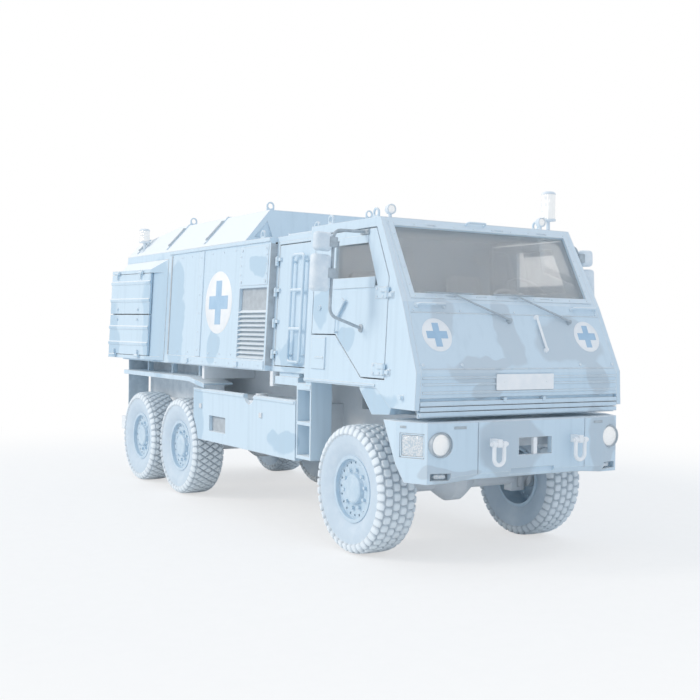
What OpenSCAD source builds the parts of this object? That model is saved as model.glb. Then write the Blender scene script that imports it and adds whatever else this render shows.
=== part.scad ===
// Six-wheeled protected ambulance truck: forward-control cab, box body with a raised roof,
// ribbed rear side lockers, steered front axle and two driven rear axles.
// +X is the vehicle's left, -Y its front, +Z up. The origin is on the ground, at the middle of its plan.

/* [Overall] */
// Length from the tow shackles to the rear step
overall_length = 6720; // [6700:1:6800]
// From the tow shackles back to the front axle
front_overhang = 1170; // [1160:1:1180]
// From the front axle to the middle axle
wheelbase = 3600; // [3580:1:3640]
// From the middle axle to the rear axle
tandem_spacing = 1200; // [1180:1:1240]
// Between the middle planes of the left and right tyres
track = 1760; // [1750:1:1780]

/* [Wheels] */
// Tyre diameter over the lugs
tyre_d = 1060; // [1040:1:1070]
// Tyre width over the sidewalls
tyre_w = 340; // [320:1:346]
// Height of the tread lugs
lug_h = 22; // [14:1:28]
// Diameter of the rim seat under the tyre beads
rim_d = 524; // [500:1:540]
// Radius of the spindle that carries a wheel
spindle_r = 99.7; // [90:0.1:105]
// Gap between a turning piece and what carries it
running_gap = 0.3; // [0.2:0.05:0.5]
// Distance of the steering pivot inboard of the wheel's middle plane
pivot_inset = 100; // [95:1:110]

/* [Chassis] */
// Outer width over the two frame rails
rail_span = 820; // [780:1:840]
// Width of one rail
rail_w = 80; // [60:1:100]
// Underside of the rails above the ground
rail_z = 900; // [880:1:920]
// Height of a rail
rail_h = 220; // [180:1:240]

/* [Cab] */
// Half width of the cab and box at the sill
side_x = 1060; // [1050:1:1070]
// Height at which that half width is measured
sill_z = 1380; // [1370:1:1400]
// Inward lean of the side walls, in degrees
side_lean = 2.6; // [2:0.1:3]
// Thickness of the cab walls and doors
cab_wall = 44; // [40:1:48]
// Height of the cab roof
cab_roof_z = 2735; // [2700:1:2760]
// Back of the cab, behind the front axle
cab_back_y = 740; // [720:1:750]
// Shut gap around doors and lids
shut_gap = 10; // [9:1:12]

/* [Box body] */
// Front wall of the box, behind the front axle
box_front_y = 790; // [780:1:800]
// Rear face of the box walls, behind the front axle
box_rear_y = 5350; // [5300:1:5380]
// Underside of the box floor
box_floor_z = 1440; // [1430:1:1460]
// Top of the upright part of the box sides
box_eaves_z = 2700; // [2690:1:2710]
// Top of the raised roof
roof_top_z = 3030; // [2980:1:3060]
// Thickness of the box walls
box_wall = 50; // [40:1:60]
// How far the bay with the side doors stands in from the main side
bay_inset = 70; // [60:1:90]
// How far the rear corner of a locker stands out from the side
locker_out = 195; // [170:1:210]

/* [Hidden] */
$fn = 64;

LEFT = 1;
RIGHT = -1;

paint = "lightsteelblue";
dark = "slategray";
rubber = "lightslategray";
clear = "lightblue";
lamp_white = "white";

// Points of polygon p moved inwards by d, for points that run anticlockwise
function unit(v) = v / norm(v);
function edge_in(a, b) = let (u = unit(b - a)) [-u[1], u[0]];
function inset(p, d) = [
    for (i = [0:len(p) - 1])
        let (
            n = len(p),
            before = edge_in(p[(i + n - 1) % n], p[i]),
            after = edge_in(p[i], p[(i + 1) % n])
        )
        p[i] + (before + after) * d / (1 + before * after)
];
function between(a, b, t) = a + (b - a) * t;

// A polygon in (y, z), extruded along x from x0 over t
module slab(points, t, x0 = 0) {
    translate([x0, 0, 0]) rotate([90, 0, 90]) linear_extrude(t) polygon(points);
}

// A box between two opposite corners
module block(low, high) {
    translate(low) cube(high - low);
}

// A round bar from one point to another
module bar(from, to, r) {
    d = to - from;
    translate(from) rotate([0, acos(d[2] / norm(d)), atan2(d[1], d[0])]) cylinder(r = r, h = norm(d), $fn = 24);
}

// A grab handle on the plane z = 0: two legs and a bar between them, along x
module grab(half, rise, r) {
    for (x = [-half, half]) {
        translate([x, 0, 0]) cylinder(r = r, h = rise + 1.5 * r, $fn = 24);
    }
    translate([-half, 0, rise]) rotate([0, 90, 0]) cylinder(r = r - 1, h = 2 * half, $fn = 24);
}

// A flat rectangle with round corners, about the origin
module rounded(w, h, r) {
    square([w - 2 * r, h], center = true);
    square([w, h - 2 * r], center = true);
    for (x = [r - w / 2, w / 2 - r]) for (y = [r - h / 2, h / 2 - r]) {
        translate([x, y]) circle(r = r, $fn = 32);
    }
}

// Moves pieces drawn from the front axle into the vehicle frame
axle_y = front_overhang - overall_length / 2;
module from_axle() {
    translate([0, axle_y, 0]) children();
}

// Draws a left-hand piece on either side
module on(side) {
    mirror([side == RIGHT ? 1 : 0, 0, 0]) children();
}

// The leaning side plane: x is out of the wall, with the outer face at x = 0
module side_plane() {
    translate([side_x, 0, sill_z]) rotate([0, -side_lean, 0]) translate([0, 0, -sill_z]) children();
}

// Everything between the two leaning side walls, from the given depth inside their outer faces
between_low = 0;
between_high = 4000;
function wall_x(z, depth) = side_x - depth / cos(side_lean) - (z - sill_z) * tan(side_lean);
module between_sides(depth, y0, y1) {
    translate([0, y1, 0]) rotate([90, 0, 0]) linear_extrude(y1 - y0)
        polygon([
            [-wall_x(between_low, depth), between_low],
            [wall_x(between_low, depth), between_low],
            [wall_x(between_high, depth), between_high],
            [-wall_x(between_high, depth), between_high]
        ]);
}

// Heights on the cab and the box, as drawn, stretched with the height of their walls
cab_drawn = 1355;
box_drawn = 1260;
function cab_h(z) = sill_z + (z - sill_z) * (cab_roof_z - sill_z) / cab_drawn;
function box_h(z) = box_floor_z + (z - box_floor_z) * (box_eaves_z - box_floor_z) / box_drawn;

// Heights and stations that follow from the sizes above, from the front axle
axle_z = tyre_d / 2;
middle_y = wheelbase;
rear_y = wheelbase + tandem_spacing;
wheel_x = track / 2;
pivot_x = wheel_x - pivot_inset;
rail_out = rail_span / 2;
rail_in = rail_out - rail_w;
rail_top = rail_z + rail_h;
front_end = -front_overhang;
rear_end = overall_length - front_overhang;
beam_back = rear_end - 30;
beam_front = beam_back - 120;
bumper_face = front_end + 110;
bumper_wall = 50;
bumper_top = 1150;
bumper_foot = 690;
bumper_ledge = 26;
bay_end = 1500;
roof_front = 2050;

// Hinges: a pin on one piece turns in a barrel on the other
pin_r = 10;
pin_gap = 0.05;
barrel_r = 18;
hinge_out = 22;
barrel_h = 40;

// The fixed half of a hinge along z: a solid barrel with a pin on top, and its leaf to the -y side
module hinge_pin(reach) {
    cylinder(r = barrel_r, h = barrel_h);
    cylinder(r = pin_r, h = 2 * barrel_h + 8);
    block([-hinge_out, -reach, 4], [0, 0, barrel_h - 4]);
}

// The moving half: a bored barrel above it, and its leaf to the +y side
module hinge_barrel(reach) {
    translate([0, 0, barrel_h + running_gap]) difference() {
        union() {
            cylinder(r = barrel_r, h = barrel_h);
            block([-hinge_out, 0, 4], [0, reach, barrel_h - 4]);
        }
        translate([0, 0, -1]) cylinder(r = pin_r + pin_gap, h = barrel_h + 2);
    }
}

// Chassis: two stepped rails, and the members between them
module chassis_rails() {
    color(dark) from_axle() {
        for (side = [LEFT, RIGHT]) on(side) {
            slab([
                [bumper_face + bumper_wall, rail_z],
                [beam_back, rail_z],
                [beam_back, rail_top],
                [box_rear_y - 10, rail_top],
                [box_rear_y - 10, box_floor_z],
                [box_front_y + 10, box_floor_z],
                [box_front_y + 10, rail_top],
                [bumper_face + bumper_wall, rail_top]
            ], rail_w, rail_in);
        }
    }
}

module crossmembers() {
    color(dark) from_axle() {
        for (y = [-900, 900, 2150, 3000, 5200]) {
            block([-rail_in, y, rail_z + 30], [rail_in, y + 90, rail_top - 30]);
        }
        for (side = [LEFT, RIGHT]) on(side) {
            for (y = [-260, 560]) {
                block([rail_in, y, rail_top], [rail_out, y + 120, sill_z]);
            }
            for (y = [1420, 2980]) {
                block([rail_out, y, 1300], [wall_x(box_floor_z, box_wall), y + 60, box_floor_z]);
            }
        }
    }
}

module driveline() {
    color(dark) from_axle() {
        block([-170, 1000, 760], [170, 1500, 1180]);
        translate([0, 1500, 900]) rotate([-90, 0, 0]) cylinder(r = 45, h = 600);
        block([-rail_in, 1180, 1080], [-170, 1300, 1120]);
        block([170, 1180, 1080], [rail_in, 1300, 1120]);
    }
}

engine_half = 280;
module engine_block() {
    color(dark) from_axle() {
        block([-engine_half, -330, 780], [engine_half, 740, 1340]);
        for (y = [-250, 480]) {
            block([-rail_in, y, rail_z + 60], [-engine_half, y + 90, rail_z + 130]);
            block([engine_half, y, rail_z + 60], [rail_in, y + 90, rail_z + 130]);
        }
    }
}

// A wheel spindle from the given inner end out into the wheel's hub
module spindle(x0) {
    translate([x0, 0, 0]) rotate([0, 90, 0]) cylinder(r = spindle_r, h = wheel_x + 104 - x0);
}

// An axle tube that swells into the housing of its final drive
module axle_tube(half, tube_r, drive_r) {
    translate([-half, 0, 0]) rotate([0, 90, 0]) rotate_extrude() polygon([
        [0, 0],
        [tube_r, 0],
        [tube_r, half - 210],
        [drive_r - 20, half - 95],
        [drive_r, half - 60],
        [drive_r, half + 60],
        [drive_r - 20, half + 95],
        [tube_r, half + 210],
        [tube_r, 2 * half],
        [0, 2 * half]
    ]);
}

// Front axle: a beam between two yokes that hold the steering pivots, on two spring seats
yoke_h = 120;
sleeve_h = 85;
pivot_r = 30;
module front_axle() {
    color(dark) from_axle() translate([0, 0, axle_z]) {
        axle_tube(pivot_x - 100, 65, 160);
        for (side = [LEFT, RIGHT]) on(side) {
            block([pivot_x - 130, -50, -yoke_h], [pivot_x - 62, 50, yoke_h]);
            for (z = [-yoke_h, sleeve_h]) {
                translate([pivot_x, 0, z]) cylinder(r = 55, h = yoke_h - sleeve_h);
                block([pivot_x - 130, -50, z], [pivot_x, 50, z + yoke_h - sleeve_h]);
            }
            translate([pivot_x, 0, -yoke_h]) cylinder(r = pivot_r, h = 2 * yoke_h);
            translate([rail_in + rail_w / 2 - 20, 0, 0]) cylinder(r = 55, h = rail_z - axle_z);
        }
    }
}

module rear_axles() {
    color(dark) from_axle() {
        for (y = [middle_y, rear_y]) translate([0, y, axle_z]) {
            axle_tube(pivot_x + 70, 65, 170);
            for (side = [LEFT, RIGHT]) on(side) {
                spindle(pivot_x + 62);
                translate([rail_in + rail_w / 2 - 20, 0, 0]) cylinder(r = 55, h = rail_z - axle_z);
            }
        }
    }
}

module knuckle(side) {
    color(dark) from_axle() on(side) translate([0, 0, axle_z]) {
        difference() {
            union() {
                translate([pivot_x, 0, running_gap - sleeve_h])
                    cylinder(r = 55, h = 2 * (sleeve_h - running_gap));
                translate([pivot_x, 0, 0]) rotate([0, 90, 0]) cylinder(r = 50, h = 70);
            }
            translate([pivot_x, 0, -yoke_h]) cylinder(r = pivot_r + pin_gap, h = 2 * yoke_h);
        }
        spindle(pivot_x + 62);
    }
}
module knuckle_left() { knuckle(LEFT); }
module knuckle_right() { knuckle(RIGHT); }

// Tyre and rim profiles: radius, then distance out from the wheel's middle plane
rim_r = rim_d / 2;
tyre_r = tyre_d / 2;
bead_a = 125;
half_w = tyre_w / 2;
module wheel_at(side, y) {
    from_axle() on(side) translate([wheel_x, y, axle_z]) rotate([0, 90, 0]) children();
}

// Half of the tread pattern: radius at each step of a pitch, so that lugs and grooves alternate
lug_count = 16;
steps = 3 * lug_count;
function is_groove(i, shift) = (i + shift) % 3 == 0;
// Rows of a tyre section: radius, distance out, drop in a groove, and which row of lugs it belongs to
lug_r = tyre_r / cos(180 / steps);
tyre_section = [
    [rim_r / cos(180 / steps) + running_gap, -bead_a, 0, 0],
    [rim_r + 30, -bead_a, 0, 0],
    [0.78 * tyre_r, -half_w, 0, 0],
    [tyre_r - 26, 12 - half_w, 0.6, 0],
    [lug_r, 40 - half_w, 1, 0],
    [lug_r, half_w - 40, 1, 1],
    [tyre_r - 26, half_w - 12, 0.6, 1],
    [0.78 * tyre_r, half_w, 0, 1],
    [rim_r + 30, bead_a, 0, 1],
    [rim_r / cos(180 / steps) + running_gap, bead_a, 0, 1]
];
tyre_rows = len(tyre_section);
function tyre_point(i, row) = let (
    r = row[0] - (is_groove(i, row[3]) ? row[2] * lug_h : 0),
    a = 360 * (i - 1.5) / steps
) [r * cos(a), r * sin(a), row[1]];
function tyre_index(i, k) = (i % steps) * tyre_rows + k % tyre_rows;
module tyre(side, y) {
    color(rubber) wheel_at(side, y) polyhedron(
        points = [for (i = [0:steps - 1]) for (row = tyre_section) tyre_point(i, row)],
        faces = [
            for (i = [0:steps - 1]) for (k = [0:tyre_rows - 1]) each [
                [tyre_index(i, k), tyre_index(i + 1, k), tyre_index(i, k + 1)],
                [tyre_index(i + 1, k), tyre_index(i + 1, k + 1), tyre_index(i, k + 1)]
            ]
        ]
    );
}

module rim(side, y) {
    seat = rim_r - running_gap;
    lip = bead_a + running_gap;
    color(paint) wheel_at(side, y) {
        difference() {
            rotate_extrude($fn = 96) polygon([
                [0, 105],
                [spindle_r + running_gap, 105],
                [spindle_r + running_gap, 30],
                [128, 30],
                [128, 66],
                [seat - 14, 74],
                [seat - 14, -bead_a - 10],
                [seat + 14, -bead_a - 10],
                [seat + 14, -lip],
                [seat, -lip],
                [seat, lip],
                [seat + 14, lip],
                [seat + 14, bead_a + 10],
                [seat - 14, bead_a + 10],
                [seat - 14, 98],
                [128, 90],
                [118, 124],
                [104, 132],
                [0, 132]
            ]);
            for (i = [0:19]) rotate(18 * i) translate([218, 0, 0]) cylinder(r = 11, h = 200, $fn = 24);
        }
        for (i = [0:9]) rotate(36 * i + 9) translate([160, 0, 84]) cylinder(r = 15, h = 34, $fn = 24);
    }
}

module tyre_front_left() { tyre(LEFT, 0); }
module tyre_front_right() { tyre(RIGHT, 0); }
module tyre_middle_left() { tyre(LEFT, middle_y); }
module tyre_middle_right() { tyre(RIGHT, middle_y); }
module tyre_rear_left() { tyre(LEFT, rear_y); }
module tyre_rear_right() { tyre(RIGHT, rear_y); }
module rim_front_left() { rim(LEFT, 0); }
module rim_front_right() { rim(RIGHT, 0); }
module rim_middle_left() { rim(LEFT, middle_y); }
module rim_middle_right() { rim(RIGHT, middle_y); }
module rim_rear_left() { rim(LEFT, rear_y); }
module rim_rear_right() { rim(RIGHT, rear_y); }

// Tanks beside the rails, and the plates that cover them
tank_front = 1130;
tank_back = 2900;
module fuel_tanks() {
    color(dark) from_axle() {
        for (side = [LEFT, RIGHT]) on(side) {
            block([rail_out, tank_front, 740], [1000, tank_back, 1140]);
            translate([900, 1850, 1140]) cylinder(r = 48, h = 40);
            translate([900, 1850, 1180]) cylinder(r = 60, h = 26);
        }
    }
}

cover_end = 3180;
wheel_room = 25;
module tank_covers() {
    color(paint) from_axle() {
        for (side = [LEFT, RIGHT]) on(side) difference() {
            union() {
                slab([[920, 660], [cover_end, 660], [cover_end, 1200], [920, 1200]], 40, 1000);
                block([960, 920, 1170], [1000, tank_front, 1200]);
                block([960, tank_back, 1170], [1000, cover_end, 1200]);
                block([960, 920, 660], [1000, 950, 1170]);
                for (y = [1560, 2950]) {
                    block([1040, y, 990], [1047, y + 60, 1040]);
                }
                block([1040, 940, 1165], [1050, cover_end - 20, 1190]);
            }
            translate([900, 1850, 1215]) rotate([0, 90, 0]) cylinder(r = 110, h = 300);
            block([980, 2380, 770], [1070, 2770, 930]);
            translate([900, middle_y, axle_z]) rotate([0, 90, 0]) cylinder(r = tyre_r + wheel_room, h = 300);
        }
    }
}

// Cab outline in (y, z), anticlockwise from the foot of the nose
cab_line = [
    [-948, 1240],
    [-620, 1240],
    [-420, sill_z],
    [cab_back_y, sill_z],
    [cab_back_y, cab_roof_z],
    [-354, cab_roof_z],
    [-718, cab_h(2058)],
    [-948, 1520],
    [-948, 1330]
];
cab_inner = inset(cab_line, cab_wall);
function strip(first, last) = concat(
    [for (i = [first:last]) cab_line[i % 9]],
    [for (i = [last:-1:first]) cab_inner[i % 9]]
);
module cab_panel(first, last) {
    intersection() {
        slab(strip(first, last), 3000, -1500);
        between_sides(cab_wall, -1100, 900);
    }
}

// Door outlines on the leaning side, in (y, z), anticlockwise from the lower front corner
door_line = [
    [-525, cab_h(1450)],
    [-180, cab_h(1450)],
    [250, cab_h(1790)],
    [650, cab_h(1790)],
    [650, cab_h(2660)],
    [-310, cab_h(2660)],
    [-525, cab_h(2250)]
];
window_line = [
    [-360, cab_h(2190)],
    [300, cab_h(2190)],
    [300, cab_h(2580)],
    [-180, cab_h(2580)]
];
door_hinge_y = -533;
door_hinge_z = [cab_h(1490), cab_h(2090)];

module cab_floor() {
    color(paint) from_axle() intersection() {
        cab_panel(0, 3);
        block([-1500, cab_inner[8][0], 0], [1500, cab_back_y, 4000]);
    }
}
module cab_back() {
    color(paint) from_axle() cab_panel(3, 4);
}
module cab_roof() {
    color(paint) from_axle() cab_panel(4, 5);
}

module cab_sides() {
    color(paint) from_axle() {
        for (side = [LEFT, RIGHT]) on(side) {
            difference() {
                intersection() {
                    side_plane() block([-cab_wall, -1100, 0], [0, 900, 4000]);
                    slab(cab_line, 3000, 0);
                }
                side_plane() slab(door_line, 200, -100);
            }
            side_plane() {
                for (z = door_hinge_z) {
                    translate([hinge_out, door_hinge_y, z]) hinge_pin(60);
                    block([0, door_hinge_y - 70, z - 6], [8, door_hinge_y - 12, z + barrel_h + 6]);
                }
                block([0, 390, cab_h(1500)], [12, 620, cab_h(1770)]);
                block([12, 405, cab_h(1590)], [18, 540, cab_h(1602)]);
                block([0, -400, sill_z + 12], [10, cab_back_y - 10, sill_z + 30]);
                translate([0, -780, 1330]) rotate([0, 90, 0]) cylinder(r = 20, h = 30, $fn = 24);
            }
        }
    }
}

// The windscreen's own frame: y runs up the glass from its foot, z out of it
screen_foot = cab_line[6];
screen_head = cab_line[5];
screen_len = norm(screen_head - screen_foot);
screen_tilt = atan2(screen_head[1] - screen_foot[1], screen_head[0] - screen_foot[0]);
screen_half = 900;
module screen_plane() {
    translate([0, screen_foot[0], screen_foot[1]]) rotate([screen_tilt, 0, 0]) children();
}

// The sloping nose: y runs up it from the fold, z out of it
nose_tilt = atan2(cab_line[6][1] - cab_line[7][1], cab_line[6][0] - cab_line[7][0]);
nose_len = norm(cab_line[6] - cab_line[7]);
module nose_plane() {
    translate([0, cab_line[7][0], cab_line[7][1]]) rotate([nose_tilt, 0, 0]) children();
}

// How deep the ribs and the screen frame are set into the nose
rib_root = 3;
module cab_nose() {
    color(paint) from_axle() difference() {
        union() {
            cab_panel(5, 8);
            screen_plane() difference() {
                block([-screen_half - 45, 30, -rib_root], [screen_half + 45, screen_len - 40, 8]);
                for (x = [-560, -250, 85, 420]) {
                    block([x - 50, 48, 2], [x + 50, 60, 20]);
                }
                for (x = [-530, 170, 640]) {
                    block([x - 50, screen_len - 66, 2], [x + 50, screen_len - 54, 20]);
                }
            }
            nose_plane() {
                block([-975, nose_len - 92, -rib_root], [975, nose_len - 84, 5]);
                block([-990, 26, -rib_root], [990, 34, 5]);
            }
            for (z = [1362, 1424, 1474]) {
                block([-1000, cab_line[7][0] - 8, z], [1000, cab_line[7][0] + rib_root, z + 16]);
            }
        }
        screen_plane() block([-screen_half, 75, -100], [screen_half, screen_len - 80, 50]);
    }
}

module windshield() {
    color(clear) from_axle() screen_plane()
        block(
            [running_gap - screen_half, 75 + running_gap, -36],
            [screen_half - running_gap, screen_len - 80 - running_gap, -14]
        );
}

slat_z = [1190, 1230, 1270];
grille_half = 1015;
module grille() {
    front = cab_line[0][0];
    color(paint) from_axle() {
        block([-grille_half, front + 30, 1180], [grille_half, front + cab_wall, 1330]);
        for (z = slat_z) {
            slab(
                [[front - 4, z], [front + 30, z + 22], [front + 30, z + 34], [front - 4, z + 34]],
                2 * grille_half, -grille_half
            );
        }
        for (x = [-205, 200]) {
            block([x - 14, front - 14, 1290], [x + 14, front - 4, 1325]);
            block([x - 14, front - 6, 1312], [x + 14, front + 32, 1325]);
        }
    }
}

// Cab doors, with glass and mirrors that ride on them: strips over the foot and head of the window
strip_t = 10;
// Foot of the strut under the grab bar: station and height
grab_foot = [215, cab_h(1815)];
module cab_door(side) {
    color(paint) from_axle() on(side) side_plane() {
        difference() {
            slab(inset(door_line, shut_gap), cab_wall, -cab_wall);
            slab(window_line, 200, -100);
        }
        for (z = door_hinge_z) {
            translate([hinge_out, door_hinge_y, z]) hinge_barrel(100);
            block([0, door_hinge_y + 30, z - 6], [8, door_hinge_y + 190, z + 2 * barrel_h + 6]);
        }
        block([0, -330, cab_h(2176)], [strip_t, 310, cab_h(2262)]);
        block([0, -200, cab_h(2536)], [strip_t, 240, cab_h(2600)]);
        slab([[200, cab_h(1925)], [238, cab_h(1945)], [112, cab_h(2095)], [74, cab_h(2075)]], 12, 22);
        translate([28, grab_foot[0], grab_foot[1]]) cylinder(r = 7, h = cab_h(1950) - grab_foot[1], $fn = 24);
        for (p = [grab_foot, [97, cab_h(2072)]]) {
            translate([0, p[0], p[1]]) rotate([0, 90, 0]) cylinder(r = 10, h = 32, $fn = 24);
        }
        translate([0, 520, cab_h(2020)]) rotate([0, 90, 0]) cylinder(r = 22, h = 12, $fn = 32);
    }
}
module door_glass(side) {
    color(clear) from_axle() on(side) side_plane()
        slab(inset(window_line, running_gap), 20, -32);
}
mirror_reach = 300;
mirror_y = -150;
mirror_bar = 14;
// Arms of a mirror frame: height on the door, and height at the rod
arm_low = [cab_h(1850), cab_h(1935)];
arm_high = [cab_h(2626), cab_h(2612)];
// Mirror heads, outboard of the rod: foot, head and width
mirror_heads = [[cab_h(2118), cab_h(2410), 176], [cab_h(2435), cab_h(2586), 160]];
mirror_gap = 4;
// How far inside its foot an arm starts
arm_seat = 7;
module mirror_arm(side) {
    color(dark) from_axle() on(side) side_plane() translate([0, mirror_y, 0]) {
        for (arm = [arm_low, arm_high]) {
            lean = atan2(arm[1] - arm[0], mirror_reach);
            translate([0, 0, arm[0]]) rotate([0, 90 - lean, 0]) translate([0, 0, arm_seat])
                cylinder(r = mirror_bar - 2, h = mirror_reach / cos(lean) - arm_seat, $fn = 32);
        }
        translate([0, 0, arm_low[0]]) rotate([0, 90, 0]) cylinder(r = 32, h = 12);
        block([0, -60, arm_high[0] - 22], [16, 60, arm_high[0] + 22]);
        translate([mirror_reach, 0, arm_low[1] - 20])
            cylinder(r = mirror_bar, h = arm_high[1] - arm_low[1] + 40, $fn = 32);
        for (head = mirror_heads) {
            middle = (head[0] + head[1]) / 2;
            inner = mirror_reach + mirror_bar + mirror_gap;
            translate([inner + head[2] / 2, 20, middle]) rotate([90, 0, 0])
                linear_extrude(62) rounded(head[2], head[1] - head[0], 32);
            block([mirror_reach - 19, -19, middle - 40], [inner + 40, 15, middle + 40]);
        }
    }
}
module cab_door_left() { cab_door(LEFT); }
module cab_door_right() { cab_door(RIGHT); }
module door_glass_left() { door_glass(LEFT); }
module door_glass_right() { door_glass(RIGHT); }
module mirror_left() { mirror_arm(LEFT); }
module mirror_right() { mirror_arm(RIGHT); }

// Front bumper: a bent plate with a top ledge, in plan (x, y)
bumper_half = [
    [1090, 100],
    [1090, -740],
    [975, -990],
    [800, bumper_face + 20],
    [560, bumper_face]
];
bumper_plan = concat(
    [for (i = [4:-1:0]) bumper_half[i]],
    [for (p = bumper_half) [-p[0], p[1]]]
);
bumper_side = [
    [bumper_face + 70, bumper_foot],
    [-810, bumper_foot],
    [-570, bumper_top],
    [bumper_face - 50, bumper_top],
    [bumper_face - 50, bumper_foot + 70],
    [bumper_face - 2, bumper_foot + 70]
];
lamp_x = 870;
lamp_z = 985;
lamp_r = 95;
// The corner facet that holds a square lamp: x runs out of it, y along it
corner_turn = atan2(bumper_half[2][0] - bumper_half[1][0], bumper_half[1][1] - bumper_half[2][1]);
corner_len = norm(bumper_half[1] - bumper_half[2]);
module corner_facet() {
    translate([bumper_half[2][0], bumper_half[2][1], 0]) rotate([0, 0, corner_turn]) children();
}
square_low = [0, 25, 880];
square_high = [0, 240, 1065];
module front_bumper() {
    color(paint) from_axle() difference() {
        intersection() {
            linear_extrude(2000) polygon(bumper_plan);
            slab(bumper_side, 3000, -1500);
        }
        linear_extrude(bumper_top - bumper_ledge) polygon(inset(bumper_plan, bumper_wall));
        for (side = [LEFT, RIGHT]) on(side) {
            translate([lamp_x, -1100, lamp_z]) rotate([-90, 0, 0]) cylinder(r = lamp_r + running_gap, h = 300);
            corner_facet() block(square_low - [30, 0, 0], square_high + [50, 0, 0]);
            block([790, -1100, 718], [950, -900, 772]);
            block([655, -1100, 1105], [765, bumper_face + 40, 1118]);
            block([545, -1100, bumper_foot - 10], [553, bumper_face + 12, bumper_top + 10]);
        }
        block([-146, -1100, 880], [194, -900, 1015]);
        block([-225, -1100, bumper_foot - 10], [225, bumper_face + 30, 780]);
    }
}

module front_lamps() {
    color(lamp_white) from_axle() for (side = [LEFT, RIGHT]) on(side) {
        translate([lamp_x, -1024, lamp_z]) rotate([-90, 0, 0]) cylinder(r = lamp_r, h = 80);
        corner_facet() block(square_low + [-30, 8, 8], square_high + [-12, -8, -8]);
    }
}

// Bow shackles that hang from lugs on the bumper
shackle_r = 48;
shackle_bar = 16;
shackle_x = 417;
shackle_z = 985;
module tow_shackles() {
    y = front_end + 22;
    color(lamp_white) from_axle() for (side = [LEFT, RIGHT]) on(side) translate([shackle_x, 0, shackle_z]) {
        block([-22, y - 14, -24], [22, bumper_face, 36]);
        translate([-82, y, 0]) rotate([0, 90, 0]) cylinder(r = 14, h = 164, $fn = 32);
        for (x = [-shackle_r, shackle_r]) {
            translate([x, y, -110]) cylinder(r = shackle_bar, h = 110, $fn = 32);
            translate([x - 18, y, 0]) rotate([0, 90, 0]) cylinder(r = 22, h = 36, $fn = 32);
        }
        translate([0, y, -110]) rotate([-90, 0, 0]) rotate_extrude(angle = 180, $fn = 64)
            translate([shackle_r, 0]) circle(r = shackle_bar, $fn = 32);
    }
}

// Wipers, handles, a stay rod and the number plate on the nose
// Wiper columns: pivot x, blade middle x, blade half length
wiper_table = [[-30, -580, 230], [613, 70, 215]];
blade_out = 26;
// Ends of the stay rod, on the nose
rod_top = [264, nose_len - 112];
rod_foot = [280, 185];
plate_half = 297;
module nose_fittings() {
    color(dark) from_axle() {
        nose_plane() {
            pivot_y = nose_len - 150;
            for (w = wiper_table) {
                translate([w[0], pivot_y, 0]) cylinder(r = 20, h = 30, $fn = 32);
                bar([w[0], pivot_y, 24], [w[1], nose_len + 70, blade_out], 7);
                bar([w[1] - w[2], nose_len + 70, blade_out], [w[1] + w[2], nose_len + 70, blade_out], 9);
            }
            for (x = [-780, 820]) {
                translate([x, nose_len - 30, 0]) grab(130, 34, 11);
            }
            for (end = [rod_top, rod_foot]) {
                translate([end[0], end[1], 0]) cylinder(r = 14, h = 20, $fn = 24);
            }
            bar([rod_top[0], rod_top[1], 20], [rod_foot[0], rod_foot[1], 20], 12);
        }
        screen_plane() translate([-66, screen_len - 20, 0]) grab(95, 40, 10);
        front = cab_line[7][0];
        difference() {
            block([-plate_half, front - 14, 1381], [plate_half, front, 1507]);
            for (z = [1362, 1424, 1474]) {
                block([-1020, front - 8, z], [1020, front + 1, z + 16]);
            }
        }
    }
}

module cab_seats() {
    floor_z = sill_z + cab_wall;
    color(dark) from_axle() for (side = [LEFT, RIGHT]) on(side) {
        block([330, 40, floor_z], [730, 420, floor_z + 200]);
        block([300, -40, floor_z + 200], [760, 480, floor_z + 330]);
        slab([[400, floor_z + 320], [500, floor_z + 320], [600, floor_z + 950], [500, floor_z + 950]],
            440, 310);
    }
}

// Dashboard against the back of the nose, with the steering wheel on its column
dash_low = between(cab_inner[7], cab_inner[6], 0.5);
dash_high = between(cab_inner[7], cab_inner[6], 0.95);
wheel_hub = [440, -330, cab_h(2080)];
module dashboard() {
    color(dark) from_axle() {
        slab([dash_low, [-520, cab_h(1800)], [-470, cab_h(1960)], [-560, dash_high[1]], dash_high], 1840, -920);
        translate(wheel_hub) rotate([35, 0, 0]) {
            rotate_extrude($fn = 64) translate([210, 0]) circle(r = 14);
            cylinder(r = 45, h = 20);
            block([-205, -12, 2], [205, 12, 16]);
            translate([0, 0, -260]) cylinder(r = 30, h = 270);
        }
    }
}

// Steps behind the front wheels, and below the bay doors
module cab_steps() {
    color(dark) from_axle() for (side = [LEFT, RIGHT]) on(side) {
        block([830, 640, sill_z - 20], [1040, 740, sill_z]);
        block([830, 640, 1300], [1040, 900, sill_z - 20]);
        for (y = [640, 880]) {
            block([830, y, 690], [1040, y + 20, 1300]);
        }
        for (z = [690, 990]) {
            block([830, 660, z], [1040, 880, z + 30]);
        }
        block([1040, 650, 1310], [1046, 760, 1345]);
        block([880, 970, 1325], [990, 1410, 1400]);
        block([880, 1000, 1400], [960, 1380, box_floor_z]);
    }
}

// Box body: floor, leaning sides, front wall with the door bay, and a raised roof
module box_floor() {
    color(paint) from_axle() {
        intersection() {
            block([-1500, box_front_y, box_floor_z], [1500, bay_end, box_floor_z + box_wall]);
            between_sides(bay_inset, 0, 6000);
        }
        intersection() {
            block([-1500, bay_end, box_floor_z], [1500, box_rear_y, box_floor_z + box_wall]);
            between_sides(box_wall, 0, 6000);
        }
    }
}

rear_hinge_z = [box_h(1560), box_h(2500)];
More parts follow.
